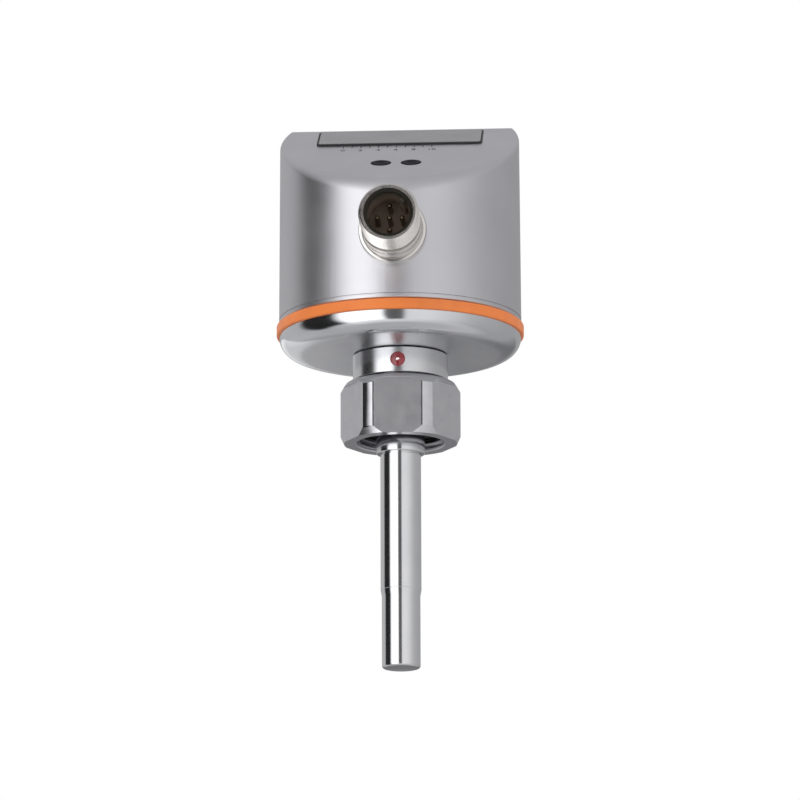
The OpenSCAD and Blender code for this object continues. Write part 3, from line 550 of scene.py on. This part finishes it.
def onPanel(thing, across, up, out=0.0):
    # lays a piece on the panel: X across, Y up the slope, Z out of it
    choose(thing)
    thing.matrix_world = panelFrame @ Matrix.Translation(Vector((across, up, out)) * mm)
    bpy.ops.object.transform_apply(location=True, rotation=True, scale=True)
    return thing


window = {
    "width": 33.7, "length": 10.7, "topGap": 0.8, "corner": 0.9, "lip": 0.5, "topLip": 0.14, "sideLip": 0.34,
    "rise": 0.4, "topRise": 0.04, "edge": 0.16, "lensDepth": 2.7, "lensThick": 3.2,
    "sealDepth": 1.82, "sealThick": 2.4, "sealEdge": 0.12, "sealInset": 0.03,
}
window["up"] = panelLength - window["topGap"] - window["length"] / 2
window["shift"] = (window["lip"] - window["topLip"]) / 2
button = {
    "diameter": 3.8, "pitch": 6.1, "up": panelLength * 0.343, "gap": 0.2, "rise": 0.12, "edge": 0.3,
    "dish": 0.25, "footDepth": 2.65, "footRadius": 2.6, "footHeight": 0.6,
}
connector = {
    "height": head["footHeight"] + (head["panelLow"] - head["footHeight"]) * 0.56, "mouth": 40.30,
    "radius": 6.0, "flangeRadius": 6.8, "flangeRear": 24.0, "flangeFront": 26.62, "flangeChamfer": 0.5,
    "flangeHollow": 24.46, "threadLength": 7.7, "groove": 1.2, "grooveDepth": 0.65, "ringDepth": 0.25,
    "ringHalf": 0.5, "chamfer": 0.45, "cavity": 4.4, "bevel": 0.56, "bevelLength": 0.6, "depth": 10.3,
    "rear": 17.43, "shank": 5.6, "pitch": 1.0, "threadDepth": 0.58, "keyHigh": 0.85, "keyWide": 1.1,
    "keyBack": 1.3, "pinRadius": 0.5, "pinCircle": 2.5, "pinTip": 4.3, "pinRear": 17.4,
}
connector["threadRear"] = connector["mouth"] - connector["threadLength"]


def roundingAt(place, front, back):
    toFront = (1 - place.y / math.hypot(place.x, place.y)) / 2
    return back + (front - back) * toFront ** head["roundingFade"]


def headSolid(name, inset, front, back, below):
    # the head's body moved inwards by inset: turned wall, flat top, sloping panel, rounded edge
    foot, top = head["footHeight"] - below, head["topHeight"] - inset
    footRadius, topRadius = head["footRadius"] - inset, head["topRadius"] - inset
    solid = cylinder(name, topRadius, top - foot + 2, head["sides"], (top + foot + 2) / 2)
    selectFaces(solid, lambda c, n: n.z < -0.9)
    grow = footRadius / topRadius
    bpy.ops.transform.resize(value=(grow, grow, 1), center_override=(0, 0, foot * mm))
    slope = Vector((0, -math.sin(tilt), math.cos(tilt)))
    for point, normal in (((0, 0, top * mm), (0, 0, 1)), (panelEdge - slope * inset * mm, slope)):
        selectAll()
        bpy.ops.mesh.bisect(plane_co=point, plane_no=normal, use_fill=True, clear_outer=True)
    editing(False)
    # weighted by the angle of each edge, because a bevel's width grows with it
    mesh = solid.data
    sides = {}
    for face in mesh.polygons:
        for key in face.edge_keys:
            sides.setdefault(key, []).append(face.normal.copy())
    weights = mesh.attributes.new("bevel_weight_edge", "FLOAT", "EDGE")
    for edge in mesh.edges:
        raisedEdge = min(mesh.vertices[i].co.z for i in edge.vertices) > (foot + 1) * mm
        bend = sides[edge.key][0].angle(sides[edge.key][1])
        if raisedEdge and bend > math.radians(20):
            middle = (mesh.vertices[edge.vertices[0]].co + mesh.vertices[edge.vertices[1]].co) / 2
            weights.data[edge.index].value = math.tan(bend / 2) * roundingAt(middle, front, back) / front
    return applied(
        solid, "BEVEL", width=front * mm, segments=9, limit_method="WEIGHT", use_clamp_overlap=False
    )


def headShell():
    shell = headSolid("head_shell_body", 0, head["frontRounding"], head["backRounding"], 0)
    selectEdges(shell, lambda a, b: max(a.z, b.z) < (head["footHeight"] + 0.01) * mm)
    bpy.ops.mesh.bevel(offset=head["footRounding"] * mm, segments=5, affect="EDGES")
    editing(False)
    carved(shell, headSolid("hollow", head["wall"], *head["hollowRounding"], 1))
    opening = plate("opening", window["width"], window["length"], window["corner"], 6)
    onPanel(opening, 0, window["up"], -3)
    carved(shell, opening)
    for side in (-1, 1):
        hole = cylinder("hole", button["diameter"] / 2 + button["gap"], 6, 48)
        carved(shell, onPanel(hole, side * button["pitch"] / 2, button["up"]))
    hole = cylinder("hole", connector["shank"] + 0.03, 20, 96)
    carved(shell, placed(hole, (0, -24, connector["height"]), (90, 0, 0)))
    bevelled(shell, head["holeEdge"], 2, 50)
    # a fine turned line runs round the wall a little above its foot
    line, half = head["grooveHeight"], head["grooveHalf"]
    wall = head["footRadius"] - headTaper * (line - head["footHeight"])
    outside, deep = wall + 0.3, wall - head["grooveDepth"]
    carved(shell, turnedRing("groove", [
        (outside, line - half - 0.1), (outside, line + half + 0.1), (wall, line + half),
        (deep, line + half / 2), (deep, line - half / 2), (wall, line - half),
    ], head["sides"]))
    return smoothed(shell)


standsFor(headShell(), "head", "head_steel", "headSteel", "head_shell")
print("head shell modelled")


def slopedOff(thing, height):
    # cuts the top face so that it falls towards the panel's top edge
    drop, length = window["rise"] - window["topRise"], window["length"]
    slope = Vector((0, drop, length)).normalized()
    choose(thing)
    editing()
    selectAll()
    bpy.ops.mesh.bisect(
        plane_co=(0, -length / 2 * mm, height * mm), plane_no=slope, use_fill=True, clear_outer=True
    )
    editing(False)
    return thing


def insideLips(name, wider, height):
    w = window
    width, length = w["width"] - 2 * w["sideLip"] + wider, w["length"] - w["lip"] - w["topLip"] + wider
    return plate(name, width, length, w["corner"] - w["lip"] / 2, height)


def displayWindow():
    lens = insideLips("window_lens", 0, window["lensThick"])
    slopedOff(lens, window["lensDepth"] + window["rise"])
    bevelled(lens, window["edge"], 3, 60)
    onPanel(lens, 0, window["up"] + window["shift"], -window["lensDepth"])
    return smoothed(lens)


def windowGasket():
    w, inset = window, window["sealInset"]
    ring = plate("window_seal", w["width"] - 2 * inset, w["length"] - 2 * inset, w["corner"], w["sealThick"])
    carved(ring, placed(insideLips("hollow", 0.04, 4), (0, w["shift"], -1)))
    slopedOff(ring, w["sealDepth"] + w["rise"] - inset)
    bevelled(ring, w["sealEdge"], 3, 60)
    onPanel(ring, 0, w["up"], -w["sealDepth"])
    return smoothed(ring)


standsFor(displayWindow(), "head", "window_clear", "smokyWindow", "display_window")
standsFor(windowGasket(), "head", "black_rubber", "blackRubber", "window_gasket")


def pressButton():
    r, edge, dish = button["diameter"] / 2, button["edge"], button["dish"]
    top, low = button["rise"], -button["footDepth"]
    foot = low + button["footHeight"]
    outline = [(0, low), (button["footRadius"], low), (button["footRadius"], foot), (r, foot)]
    outline += arc(r - edge, top - edge, edge, 0, 90, 6)
    outline += [(r * 0.62, top), (r * 0.4, top - dish * 0.6), (0, top - dish)]
    return turned("button_left", outline, 64)


leftButton = pressButton()
copied(leftButton)
rightButton = named("button_right")
for piece, side, body, node in (
    (leftButton, -1, "left_key", "left_button"), (rightButton, 1, "right_key", "right_button"),
):
    onPanel(piece, side * button["pitch"] / 2, button["up"])
    smoothed(piece)
    standsFor(piece, body, "black_plastic", "keyPlastic", node)
print("window and buttons modelled")


scaleMarks = {
    "count": 11, "pitch": 1.8, "shift": -2.3, "tick": 1.5, "wide": 0.2, "gap": 1.05, "digits": 1.8, "thick": 0.012,
}


def scalePrint():
    # plain ticks and numbers under the window, printed on the steel
    s = scaleMarks
    low = window["up"] - window["length"] / 2 - s["gap"]
    tick = plate("scale_print", s["wide"], s["tick"], 0, s["thick"])
    marks = []
    for i in range(s["count"]):
        across = (i - (s["count"] - 1) / 2) * s["pitch"] + s["shift"]
        marks.append(onPanel(copied(tick), across, low, 0.004))
        if i % 2 == 0:
            deselectAll()
            bpy.ops.object.text_add()
            text = bpy.context.object.data
            text.body = str(i)
            text.size = s["digits"] * mm
            text.align_x = "CENTER"
            text.extrude = s["thick"] * mm / 2
            bpy.ops.object.convert(target="MESH")
            marks.append(onPanel(bpy.context.object, across, low - s["tick"] - 0.8 * s["digits"], 0.012))
    bpy.data.objects.remove(tick)
    joined(*marks)
    return named("scale_print")


standsFor(scalePrint(), "head", "black_plastic", "printInk")
print("scale printed")


def connectorShell():
    c = connector
    r, mouth, cavity, rear, shank = c["radius"], c["mouth"], c["cavity"], c["rear"], c["shank"]
    flange, front, side, thread = c["flangeRadius"], c["flangeFront"], c["flangeChamfer"], c["threadRear"]
    core, grooved, ring = r - c["threadDepth"], thread - c["groove"], c["ringHalf"]
    neck = (front + thread - c["groove"]) / 2
    shell = turnedRing("connector_barrel", [
        (cavity, rear), (shank, rear), (shank, c["flangeRear"]), (flange, c["flangeRear"]), (flange, front - side),
        (flange - 0.15, front - 0.15), (flange - side, front), (r + 0.08, front), (r, front + 0.08),
        (r, neck - ring), (r - c["ringDepth"], neck), (r, neck + ring), (r, grooved - 0.1), (r - 0.1, grooved),
        (r - c["grooveDepth"], grooved), (r - c["grooveDepth"], thread), (core, thread + 0.1),
        (core, mouth - 0.12), (core - 0.08, mouth), (cavity + c["bevel"], mouth), (cavity, mouth - c["bevelLength"]),
    ], 144)
    ridge = helix(core - 0.05, c["threadDepth"] + 0.05, c["pitch"], 10, thread - 1.2)
    chamfer = c["chamfer"]
    limit = turned("limit", [
        (0, thread + 0.05), (core, thread + 0.05), (r, thread + 0.55), (r, mouth - chamfer),
        (r - chamfer - 0.05, mouth - 0.01), (0, mouth - 0.01),
    ], 144)
    carved(ridge, limit, "INTERSECT")
    barrel = placed(joined(shell, ridge), (0, 0, c["height"]), (90, 0, 0))
    # the flange is hollowed to the head's curve
    wall = cylinder("wall", c["flangeHollow"], 60, 256, c["height"])
    carved(wall, placed(cylinder("keep", shank + 0.01, 70, 96), (0, 0, c["height"]), (90, 0, 0)))
    carved(barrel, wall)
    return smoothed(barrel, 28)


standsFor(connectorShell(), "head", "nickel", "nickel", "connector_shell")


def connectorInsert():
    c = connector
    face, cavity, r = c["mouth"] - c["depth"], c["cavity"], c["cavity"] - 0.03
    insert = turned("connector_insert_body", [
        (0, c["rear"]), (r, c["rear"]), (r, face + 0.6), (r - 0.35, face + 0.6), (r - 0.35, face), (0, face),
    ], 96)
    # the insert runs up to the mouth as a thin liner that covers the bevel; its finish paints it near-black there as
    # shade
    wide, rim, bend = cavity + c["bevel"] + 0.03, c["mouth"] - 0.02, c["mouth"] - c["bevelLength"]
    liner = turnedRing("liner", [
        (cavity - 0.01, face + 0.5), (cavity - 0.01, bend + 0.05), (wide, rim - 0.02), (wide + 0.02, rim + 0.01),
        (wide - 0.06, rim + 0.02), (cavity - 0.12, bend), (cavity - 0.12, face + 0.5),
    ], 128)
    joined(insert, liner)
    key = plate("key", c["keyHigh"], c["keyWide"], 0, c["depth"] - c["keyBack"])
    placed(key, (r - c["keyHigh"] / 2, 0, face))
    placed(key, rotation=(0, 0, 45))
    bevelled(key, 0.12, 2, 60)
    return smoothed(placed(joined(insert, key), (0, 0, c["height"]), (90, 0, 0)))


def contactPins():
    c = connector
    r, tip, rear = c["pinRadius"], c["mouth"] - c["pinTip"] - c["pinRadius"], c["pinRear"]
    first = turned("contact_pin_set", [(0, rear), (r, rear), (r, tip)] + arc(0, tip, r, 0, 90, 6), 32)
    pins = []
    for i in range(5):
        # four on a circle, and the last in the middle
        angle, out = math.radians(90 * i), c["pinCircle"] if i < 4 else 0
        place = (out * math.cos(angle), 0, c["height"] + out * math.sin(angle))
        pins.append(placed(copied(first), place, (90, 0, 0)))
    bpy.data.objects.remove(first)
    joined(*pins)
    return smoothed(named("contact_pin_set"))


standsFor(connectorInsert(), "head", "insert_plastic", "insertPlastic", "connector_insert")
standsFor(contactPins(), "head", "contact_gold", "goldPlatingPaintedShade", "contact_pins")
print("connector modelled")


base = {
    "ringLow": 22.1, "ringHigh": 24.26, "ringRadius": 25.0, "ringRounding": 0.3, "ringInner": 22.97,
    "capLow": 18.2, "capRadius": 24.45, "capEdge": 3.6, "capSoftEdge": 9.0, "capSoftFrom": 75,
    "capFloor": 2.0, "spigot": 22.94, "spigotTop": 28.31, "capInside": 21.44, "capBore": 5.03,
    "collarLow": 12.8, "collarHigh": 18.0, "collarRadius": 9.6, "collarChamfer": 0.25, "gasketRadius": 9.25,
    "counterbore": 6.03, "counterboreDepth": 1.5, "markRadius": 1.5, "markDome": 2.6, "markDepth": 1.2,
}


def sealRing():
    b = base
    low, high, inner, edge = b["ringLow"], b["ringHigh"], b["ringInner"], b["ringRounding"]
    r = b["ringRadius"] - edge
    outline = [(inner, low)] + arc(r, low + edge, edge, -90, -4, 6) + arc(r, high - edge, edge, 4, 90, 6)
    return smoothed(turnedRing("seal_ring_orange", outline + [(inner, high)], 256), 40)


def baseCap():
    b = base
    low, bore, floor = b["capLow"], b["capBore"], b["capLow"] + b["capFloor"]
    r, inside, top, spigot = b["capRadius"], b["capInside"], b["ringLow"], b["spigot"]
    # the rim's rounding runs out into the underside in a flatter curve
    tight, soft, turn = b["capEdge"], b["capSoftEdge"], b["capSoftFrom"]
    lift = low + soft - (soft - tight) * math.sin(math.radians(turn))
    outline = [(bore, low)]
    outline += arc(r - tight - (soft - tight) * math.cos(math.radians(turn)), low + soft, soft, -90, -turn, 6)
    outline += arc(r - tight, lift, tight, -turn, 0, 20)[1:]
    outline += [
        (r, top - 0.06), (r - 0.06, top), (spigot, top), (spigot, b["spigotTop"]), (inside, b["spigotTop"]),
        (inside, floor + 1),
    ]
    outline += arc(inside - 1, floor + 1, 1, 0, -90, 6)[1:]
    return smoothed(turnedRing("base_cap_polished", outline + [(bore, floor)], 256), 40)


def collarRing():
    b = base
    r, low, high, c = b["collarRadius"], b["collarLow"], b["collarHigh"], b["collarChamfer"]
    seat = low + b["counterboreDepth"]
    outline = [(b["capBore"], seat), (b["counterbore"], seat), (b["counterbore"], low)]
    outline += arc(r - c, low + c, c, -90, 0, 5)
    outline += [(r, high - 0.12), (r - 0.12, high), (b["capBore"], high)]
    ring = turnedRing("collar_ring", outline, 192)
    depth = 3
    hole = cylinder("hole", b["markRadius"] + 0.004, depth, 64)
    carved(ring, placed(hole, (0, -r + b["markDepth"] - depth / 2, (low + high) / 2), (90, 0, 0)))
    return smoothed(ring, 40)


def orientationMark():
    b = base
    dome, r, depth = b["markDome"], b["markRadius"], b["markDepth"]
    crown = dome - math.sqrt(dome ** 2 - r ** 2)
    sweep = math.degrees(math.asin(r / dome))
    mark = turned("red_dot", [(0, 0), (r, 0)] + arc(0, depth + crown - dome, dome, 90 - sweep, 90, 12), 64)
    placed(mark, (0, depth - b["collarRadius"], (b["collarLow"] + b["collarHigh"]) / 2), (90, 0, 0))
    return smoothed(mark, 40)


def collarSeal():
    r, bore, low, high = base["gasketRadius"], base["capBore"], base["collarHigh"], base["capLow"]
    outline = [(bore, low), (r - 0.1, low), (r, low + 0.1), (r, high - 0.1), (r - 0.1, high), (bore, high)]
    return smoothed(turnedRing("collar_seal", outline, 128), 40)


standsFor(sealRing(), "head", "orange_seal", "orangeRubber", "seal_ring")
standsFor(baseCap(), "head", "polished_steel", "capSteel", "base_cap")
standsFor(collarRing(), "head", "polished_steel", "collarSteel", "collar")
standsFor(orientationMark(), "head", "red_mark", "redGloss", "orientation_mark")
standsFor(collarSeal(), "head", "black_rubber", "blackRubber", "collar_gasket")
print("base, ring and collar modelled")


nut = {
    "flats": 22.0, "cornerRadius": 12.1, "height": 12.15, "faceRadius": 11.4, "bottomRise": 1.5,
    "topRadius": 11.0, "topRise": 1.75, "ledge": 0.9, "bore": 8.2, "mouth": 0.35, "web": 8.5, "webHole": 6.2,
    "pitch": 1.5, "threadDepth": 0.7, "relief": 1.6, "edge": 0.32,
}


def unionNut():
    n = nut
    height, corner, top, hole = n["height"], n["cornerRadius"], n["topRadius"], n["webHole"]
    shelf = height - n["ledge"]
    hexRadius = n["flats"] / 2 / math.cos(math.radians(30))
    body = cylinder("union_nut_body", hexRadius, shelf, 6, shelf / 2, 30)
    limit = turned("limit", [
        (0, 0), (n["faceRadius"], 0), (corner, n["bottomRise"]), (corner, height - n["topRise"]), (top, height),
        (0, height),
    ], 120)
    carved(body, limit, "INTERSECT")
    bevelled(body, n["edge"], 3, 20)
    root, bore, mouth, web = n["bore"] + n["threadDepth"], n["bore"], n["mouth"], n["web"]
    carved(body, turned("hollow", [
        (0, -1), (root + 0.15 + 1, -1), (root + 0.15, -0.001), (root - 0.05, mouth * 0.6), (root, mouth),
        (root, web), (hole, web), (hole, height + 1), (0, height + 1),
    ], 192))
    ridge = helix(root + 0.04, n["threadDepth"] + 0.04, n["pitch"], 7, -0.9, -1)
    end = web - n["relief"]
    limit = turnedRing("limit", [
        (bore - 0.6, 0.75), (bore, 0.75), (root + 0.1, 0.2), (root + 0.1, end), (bore - 0.6, end),
    ], 192)
    carved(ridge, limit, "INTERSECT")
    # the flats are milled up to a small ledge, above which the nut stays round
    ledgeRadius = top + (corner - top) * n["ledge"] / n["topRise"]
    crown = turnedRing("crown", [
        (hole, shelf - 0.25), (top - 0.7, shelf - 0.25), (top - 0.7, shelf - 0.02),
        (ledgeRadius - 0.08, shelf - 0.02), (ledgeRadius, shelf + 0.06), (top + 0.08, height - 0.1),
        (top - 0.06, height), (hole + 0.2, height), (hole, height - 0.2),
    ], 240)
    return smoothed(joined(body, ridge, crown), 28)


standsFor(unionNut(), "nut", "nut_steel", "nutSteel", "union_nut")
print("union nut modelled")


stem = {
    "top": 28.5, "threadRadius": 5.0, "neckTop": 14.27, "neckRadius": 6.0, "shoulderTop": 8.4, "shoulderRadius": 7.7,
    "coneTop": 5.4, "coneRadius": 7.0, "coneLow": 2.6, "coneLowRadius": 6.405, "sealGroove": 5.7, "sealHalf": 0.75,
    "sleeveRadius": 4.9, "sleeveLow": -2.2, "sleeveChamfer": 0.3, "seatRadius": 3.93, "seatTop": 4.0, "bore": 2.6,
    "sealInner": 5.73, "sealRadius": 0.72,
}


def stemBody():
    s = stem
    cone, coneTop, coneLow, coneFoot = s["coneRadius"], s["coneTop"], s["coneLow"], s["coneLowRadius"]
    middle, slope = (coneTop + coneLow) / 2, (cone - coneFoot) / (coneTop - coneLow)
    high, low, groove = middle + s["sealHalf"], middle - s["sealHalf"], s["sealGroove"]
    bore, top, thread, neck, neckTop = s["bore"], s["top"], s["threadRadius"], s["neckRadius"], s["neckTop"]
    shoulder, ledge, seat, seatTop = s["shoulderRadius"], s["shoulderTop"], s["seatRadius"], s["seatTop"]
    sleeve, end, chamfer = s["sleeveRadius"], s["sleeveLow"], s["sleeveChamfer"]
    outline = [
        (bore, top), (thread - 0.25, top), (thread, top - 0.25), (thread, neckTop), (neck, neckTop), (neck, ledge),
        (shoulder - 0.15, ledge), (shoulder, ledge - 0.15), (shoulder, coneTop), (cone, coneTop),
        (cone - slope * (coneTop - high), high), (groove, high), (groove, low),
        (cone - slope * (coneTop - low), low), (coneFoot, coneLow + 0.1), (coneFoot - 0.1, coneLow),
        (sleeve + 0.3, coneLow), (sleeve, coneLow - 0.3),
    ]
    outline += arc(sleeve - chamfer, end + chamfer, chamfer, 0, -90, 5)
    outline += [(seat, end), (seat, seatTop), (bore, seatTop)]
    return smoothed(turnedRing("stem_body", outline), 40)


def coneSeal():
    r = stem["sealRadius"]
    outline = arc(stem["sealInner"] + r, (stem["coneTop"] + stem["coneLow"]) / 2, r, 0, 360, 20)
    return smoothed(turned("cone_seal_ring", outline, 128), 60)


probe = {
    "radius": 4.1, "bore": 3.5, "joint": -30.1, "neckLow": -2.5, "neckTop": 3.97, "neckRadius": 3.9,
    "tipRadius": 3.875, "taper": 1.2, "end": -46.0, "edge": 0.5, "floor": 0.65, "tipWall": 0.75, "spigot": 4.0,
}


def probeTube():
    p = probe
    r, bore, joint, low, high, neck = [p[k] for k in ("radius", "bore", "joint", "neckLow", "neckTop", "neckRadius")]
    return smoothed(turnedRing("probe_tube_body", [
        (bore, joint), (r - 0.05, joint), (r, joint + 0.05), (r, low - 0.06), (r - 0.06, low), (neck, low),
        (neck, high), (bore, high),
    ]), 40)


def probeTip():
    p = probe
    r, edge, end, joint, floor = p["tipRadius"], p["edge"], p["end"], p["joint"], p["end"] + p["floor"]
    wide, bore, inner = p["radius"], p["bore"] - 0.03, r - p["tipWall"]
    step, top = joint - p["taper"], joint + p["spigot"]
    return smoothed(turned("probe_tip_body", [(0, end)] + arc(r - edge, end + edge, edge, -90, 0, 8) + [
        (r, step - 0.1), (r + 0.02, step + 0.1), (wide - 0.02, joint - 0.12), (wide - 0.05, joint), (bore, joint),
        (bore, top), (inner, top), (inner, floor), (0, floor),
    ]), 40)


standsFor(stemBody(), "head", "polished_steel", "polishedSteel", "stem")
standsFor(coneSeal(), "head", "black_rubber", "blackRubber", "cone_seal")
standsFor(probeTube(), "head", "polished_steel", "polishedSteel", "probe_tube")
standsFor(probeTip(), "head", "polished_steel", "polishedSteel", "probe_tip")
print("stem and probe modelled")


# the pieces inside keep their CAD shapes and get their own finishes
insideFinishes = {
    "light_mask": "blackPlastic", "button_seals": "blackRubber", "tactile_switches": "componentPlastic",
    "display_board": "solderMask", "led_bar": "diodeResin", "processor_chip": "componentPlastic",
    "ribbon_cable": "ivoryPlastic", "ribbon_sockets": "ivoryPlastic", "main_board": "solderMask",
    "capacitors": "drawnCan", "voltage_regulator": "componentPlastic", "board_carrier": "blackPlastic",
    "connector_gasket": "blackRubber", "connector_lock_nut": "nickel", "stem_washer": "collarSteel",
    "stem_lock_nut": "collarSteel", "sensor_substrate": "firedCeramic", "heater_element": "heaterFilm",
    "temperature_sensors": "firedCeramic", "sensor_leads": "wireRed",
}
for node, finish in insideFinishes.items():
    thing = frame["nodes"][node]
    thing.data.materials.clear()
    thing.data.materials.append(finishes[finish])
print("inner pieces finished:", len(insideFinishes))


camera = {
    "distance": 1.45, "elevation": -13.0, "azimuth": 3.3, "roll": -0.18, "target": (-0.0001, 0, 0.0091),
    "lens": 323.4,
}


def addCamera():
    up, round_ = math.radians(camera["elevation"]), math.radians(camera["azimuth"])
    back = Vector((math.sin(round_) * math.cos(up), -math.cos(round_) * math.cos(up), math.sin(up)))
    data = bpy.data.cameras.new("camera")
    data.lens = camera["lens"]
    data.sensor_width = 36
    data.clip_start, data.clip_end = 0.05, 50
    eye = bpy.data.objects.new("camera", data)
    bpy.context.scene.collection.objects.link(eye)
    eye.location = Vector(camera["target"]) + back * camera["distance"]
    eye.rotation_mode = "QUATERNION"
    roll = Quaternion((0, 0, 1), math.radians(camera["roll"]))
    eye.rotation_quaternion = (-back).to_track_quat("-Z", "Y") @ roll
    bpy.context.scene.camera = eye


# angle from the camera's side, viewer's left negative, and the grey a mirror shows there; the ranges
# with From, Top and Foot are heights of the mirrored direction, those with Wide its share to the back
studio = {
    "bands": [
        (-180, 0.36), (-145, 0.54), (-112, 0.52), (-104, 0.02), (-69, 0.02), (-60, 1.3), (-50, 1.68),
        (-24, 1.68), (-17, 1.3), (-14, 0.12), (2, 0.12), (6, 0.86), (30, 0.86), (50, 0.74), (70, 0.56),
        (90, 0.47), (120, 0.42), (150, 0.40), (180, 0.36),
    ],
    "lowBands": [
        (-180, 0.47), (-120, 0.47), (-90, 0.54), (-70, 0.66), (-61, 0.95), (-15, 0.88), (50, 0.66), (110, 0.56),
        (180, 0.54),
    ],
    "under": 0.50, "above": 0.49, "behind": 0.19, "diffuse": 0.78,
    "lowFrom": (-0.66, -0.77), "underFrom": (-0.82, -0.94), "behindTop": (-0.05, -0.16),
    "behindFoot": (-0.58, -0.40), "behindWide": (0.74, 0.93), "aboveFrom": (0.30, 0.98),
    "backFrom": (0.4, 0.7), "backWide": (0.0, 0.35),
}


def bandRamp(tree, share, bands):
    ramp = tree.nodes.new("ShaderNodeValToRGB")
    stops = ramp.color_ramp.elements
    while len(stops) < len(bands):
        stops.new(0.5)
    for stop, (degrees, grey) in zip(stops, bands):
        stop.position = degrees / 360 + 0.5
    for stop, (degrees, grey) in zip(stops, bands):
        stop.color = (grey, grey, grey * 1.01, 1)
    tree.links.new(share, ramp.inputs[0])
    return ramp.outputs[0]


def studioLight(tree, direction):
    # what a mirror sees that way: tall soft boxes in front, a pale table below, a grey wall behind
    turn = wired(tree, "Mapping", {"Vector": direction, "Rotation": (0, 0, -math.radians(camera["azimuth"]))})
    unit = wired(tree, "VectorMath", {0: turn.outputs[0]}, operation="NORMALIZE")
    x, y, z = split(tree, unit.outputs[0])
    angle = mathNode(tree, "ARCTAN2", x, mathNode(tree, "MULTIPLY", y, -1))
    share = ranged(tree, angle, 0, 1, -math.pi, math.pi)
    high = bandRamp(tree, share, studio["bands"])
    low = bandRamp(tree, share, studio["lowBands"])
    a, u, b = studio["above"], studio["under"], studio["behind"]

    def between(part, limits):
        return ranged(tree, part, 0, 1, *studio[limits])

    colour = blended(tree, between(z, "lowFrom"), high, low)
    colour = blended(tree, between(z, "underFrom"), colour, (u, u, u * 1.02))
    # behind the object a strip of the wall just above the table is darker
    band = mathNode(tree, "MULTIPLY", between(z, "behindTop"), between(z, "behindFoot"))
    behind = mathNode(tree, "MULTIPLY", band, between(y, "behindWide"))
    colour = blended(tree, behind, colour, (b, b, b * 1.04))
    back = mathNode(tree, "MULTIPLY", between(z, "backFrom"), between(y, "backWide"))
    return blended(tree, mathNode(tree, "MAXIMUM", between(z, "aboveFrom"), back), colour, (a, a, a * 1.02))


def addStudio():
    world = bpy.data.worlds.new("studio")
    bpy.context.scene.world = world
    world.use_nodes = True
    tree = world.node_tree
    tree.nodes.clear()
    where = tree.nodes.new("ShaderNodeTexCoord")
    mirrored = studioLight(tree, where.outputs["Generated"])
    paths = tree.nodes.new("ShaderNodeLightPath")
    d = studio["diffuse"]
    glossy = blended(tree, paths.outputs["Is Glossy Ray"], (d, d, d), mirrored)
    seen = blended(tree, paths.outputs["Is Camera Ray"], glossy, (1.0, 1.0, 1.0))
    light = wired(tree, "Background", {0: seen})
    wired(tree, "OutputWorld", {0: light.outputs[0]})


lamps = {
    "key": {"place": (-0.9, -1.3, 1.1), "size": 0.9, "power": 9.0},
    "fill": {"place": (1.4, -0.9, 0.3), "size": 1.2, "power": 4.0},
    "spark": {"place": (-0.067, -1.17, 0.285), "size": 0.5, "power": 15.0, "mirroredBy": "red_dot"},
    "card": {"place": (-0.18, 0.42, -0.075), "size": 0.30, "power": 0.105, "mirroredBy": "base_cap_polished"},
}


def addLamps():
    for name, lamp in lamps.items():
        data = bpy.data.lights.new(name, "AREA")
        data.shape = "DISK"
        data.size = lamp["size"]
        data.energy = lamp["power"]
        thing = bpy.data.objects.new(name, data)
        bpy.context.scene.collection.objects.link(thing)
        thing.location = lamp["place"]
        thing.rotation_mode = "QUATERNION"
        thing.rotation_quaternion = (Vector((0, 0, 0.03)) - thing.location).to_track_quat("-Z", "Y")
        thing.visible_camera = False
        if "mirroredBy" in lamp:
            # a small lamp whose image only one piece shows
            only = bpy.data.collections.new(name + "_only")
            only.objects.link(bpy.data.objects[lamp["mirroredBy"]])
            thing.light_linking.receiver_collection = only
            thing.visible_diffuse = False
        else:
            thing.visible_glossy = False


def addFloor():
    deselectAll()
    bpy.ops.mesh.primitive_circle_add(vertices=96, radius=3.2, fill_type="NGON", location=(0, 0, -0.6))
    floor = named("studio_floor")
    bpy.ops.object.transform_apply(location=True)
    material, tree, shader, where = newFinish("paleFloor")
    speck = noise(tree, where, 6, detail=2)
    colour = blended(tree, ranged(tree, speck, 0, 1), (0.80, 0.80, 0.80), (0.83, 0.83, 0.83))
    tree.links.new(colour, shader.inputs["Base Color"])
    shader.inputs["Roughness"].default_value = 0.9
    # metal mirrors the same studio in the floor as round it
    glow = wired(tree, "Emission", {0: studioLight(tree, where.outputs["Object"])})
    paths = tree.nodes.new("ShaderNodeLightPath")
    either = wired(tree, "MixShader", {
        0: paths.outputs["Is Glossy Ray"], 1: shader.outputs[0], 2: glow.outputs[0],
    })
    out = next(node for node in tree.nodes if node.bl_idname == "ShaderNodeOutputMaterial")
    tree.links.new(either.outputs[0], out.inputs[0])
    floor.data.materials.append(material)


addCamera()
addStudio()
addLamps()
addFloor()
bpy.context.scene.view_settings.view_transform = "Standard"
print("camera, studio, lamps and floor set")

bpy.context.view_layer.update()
deselectAll()
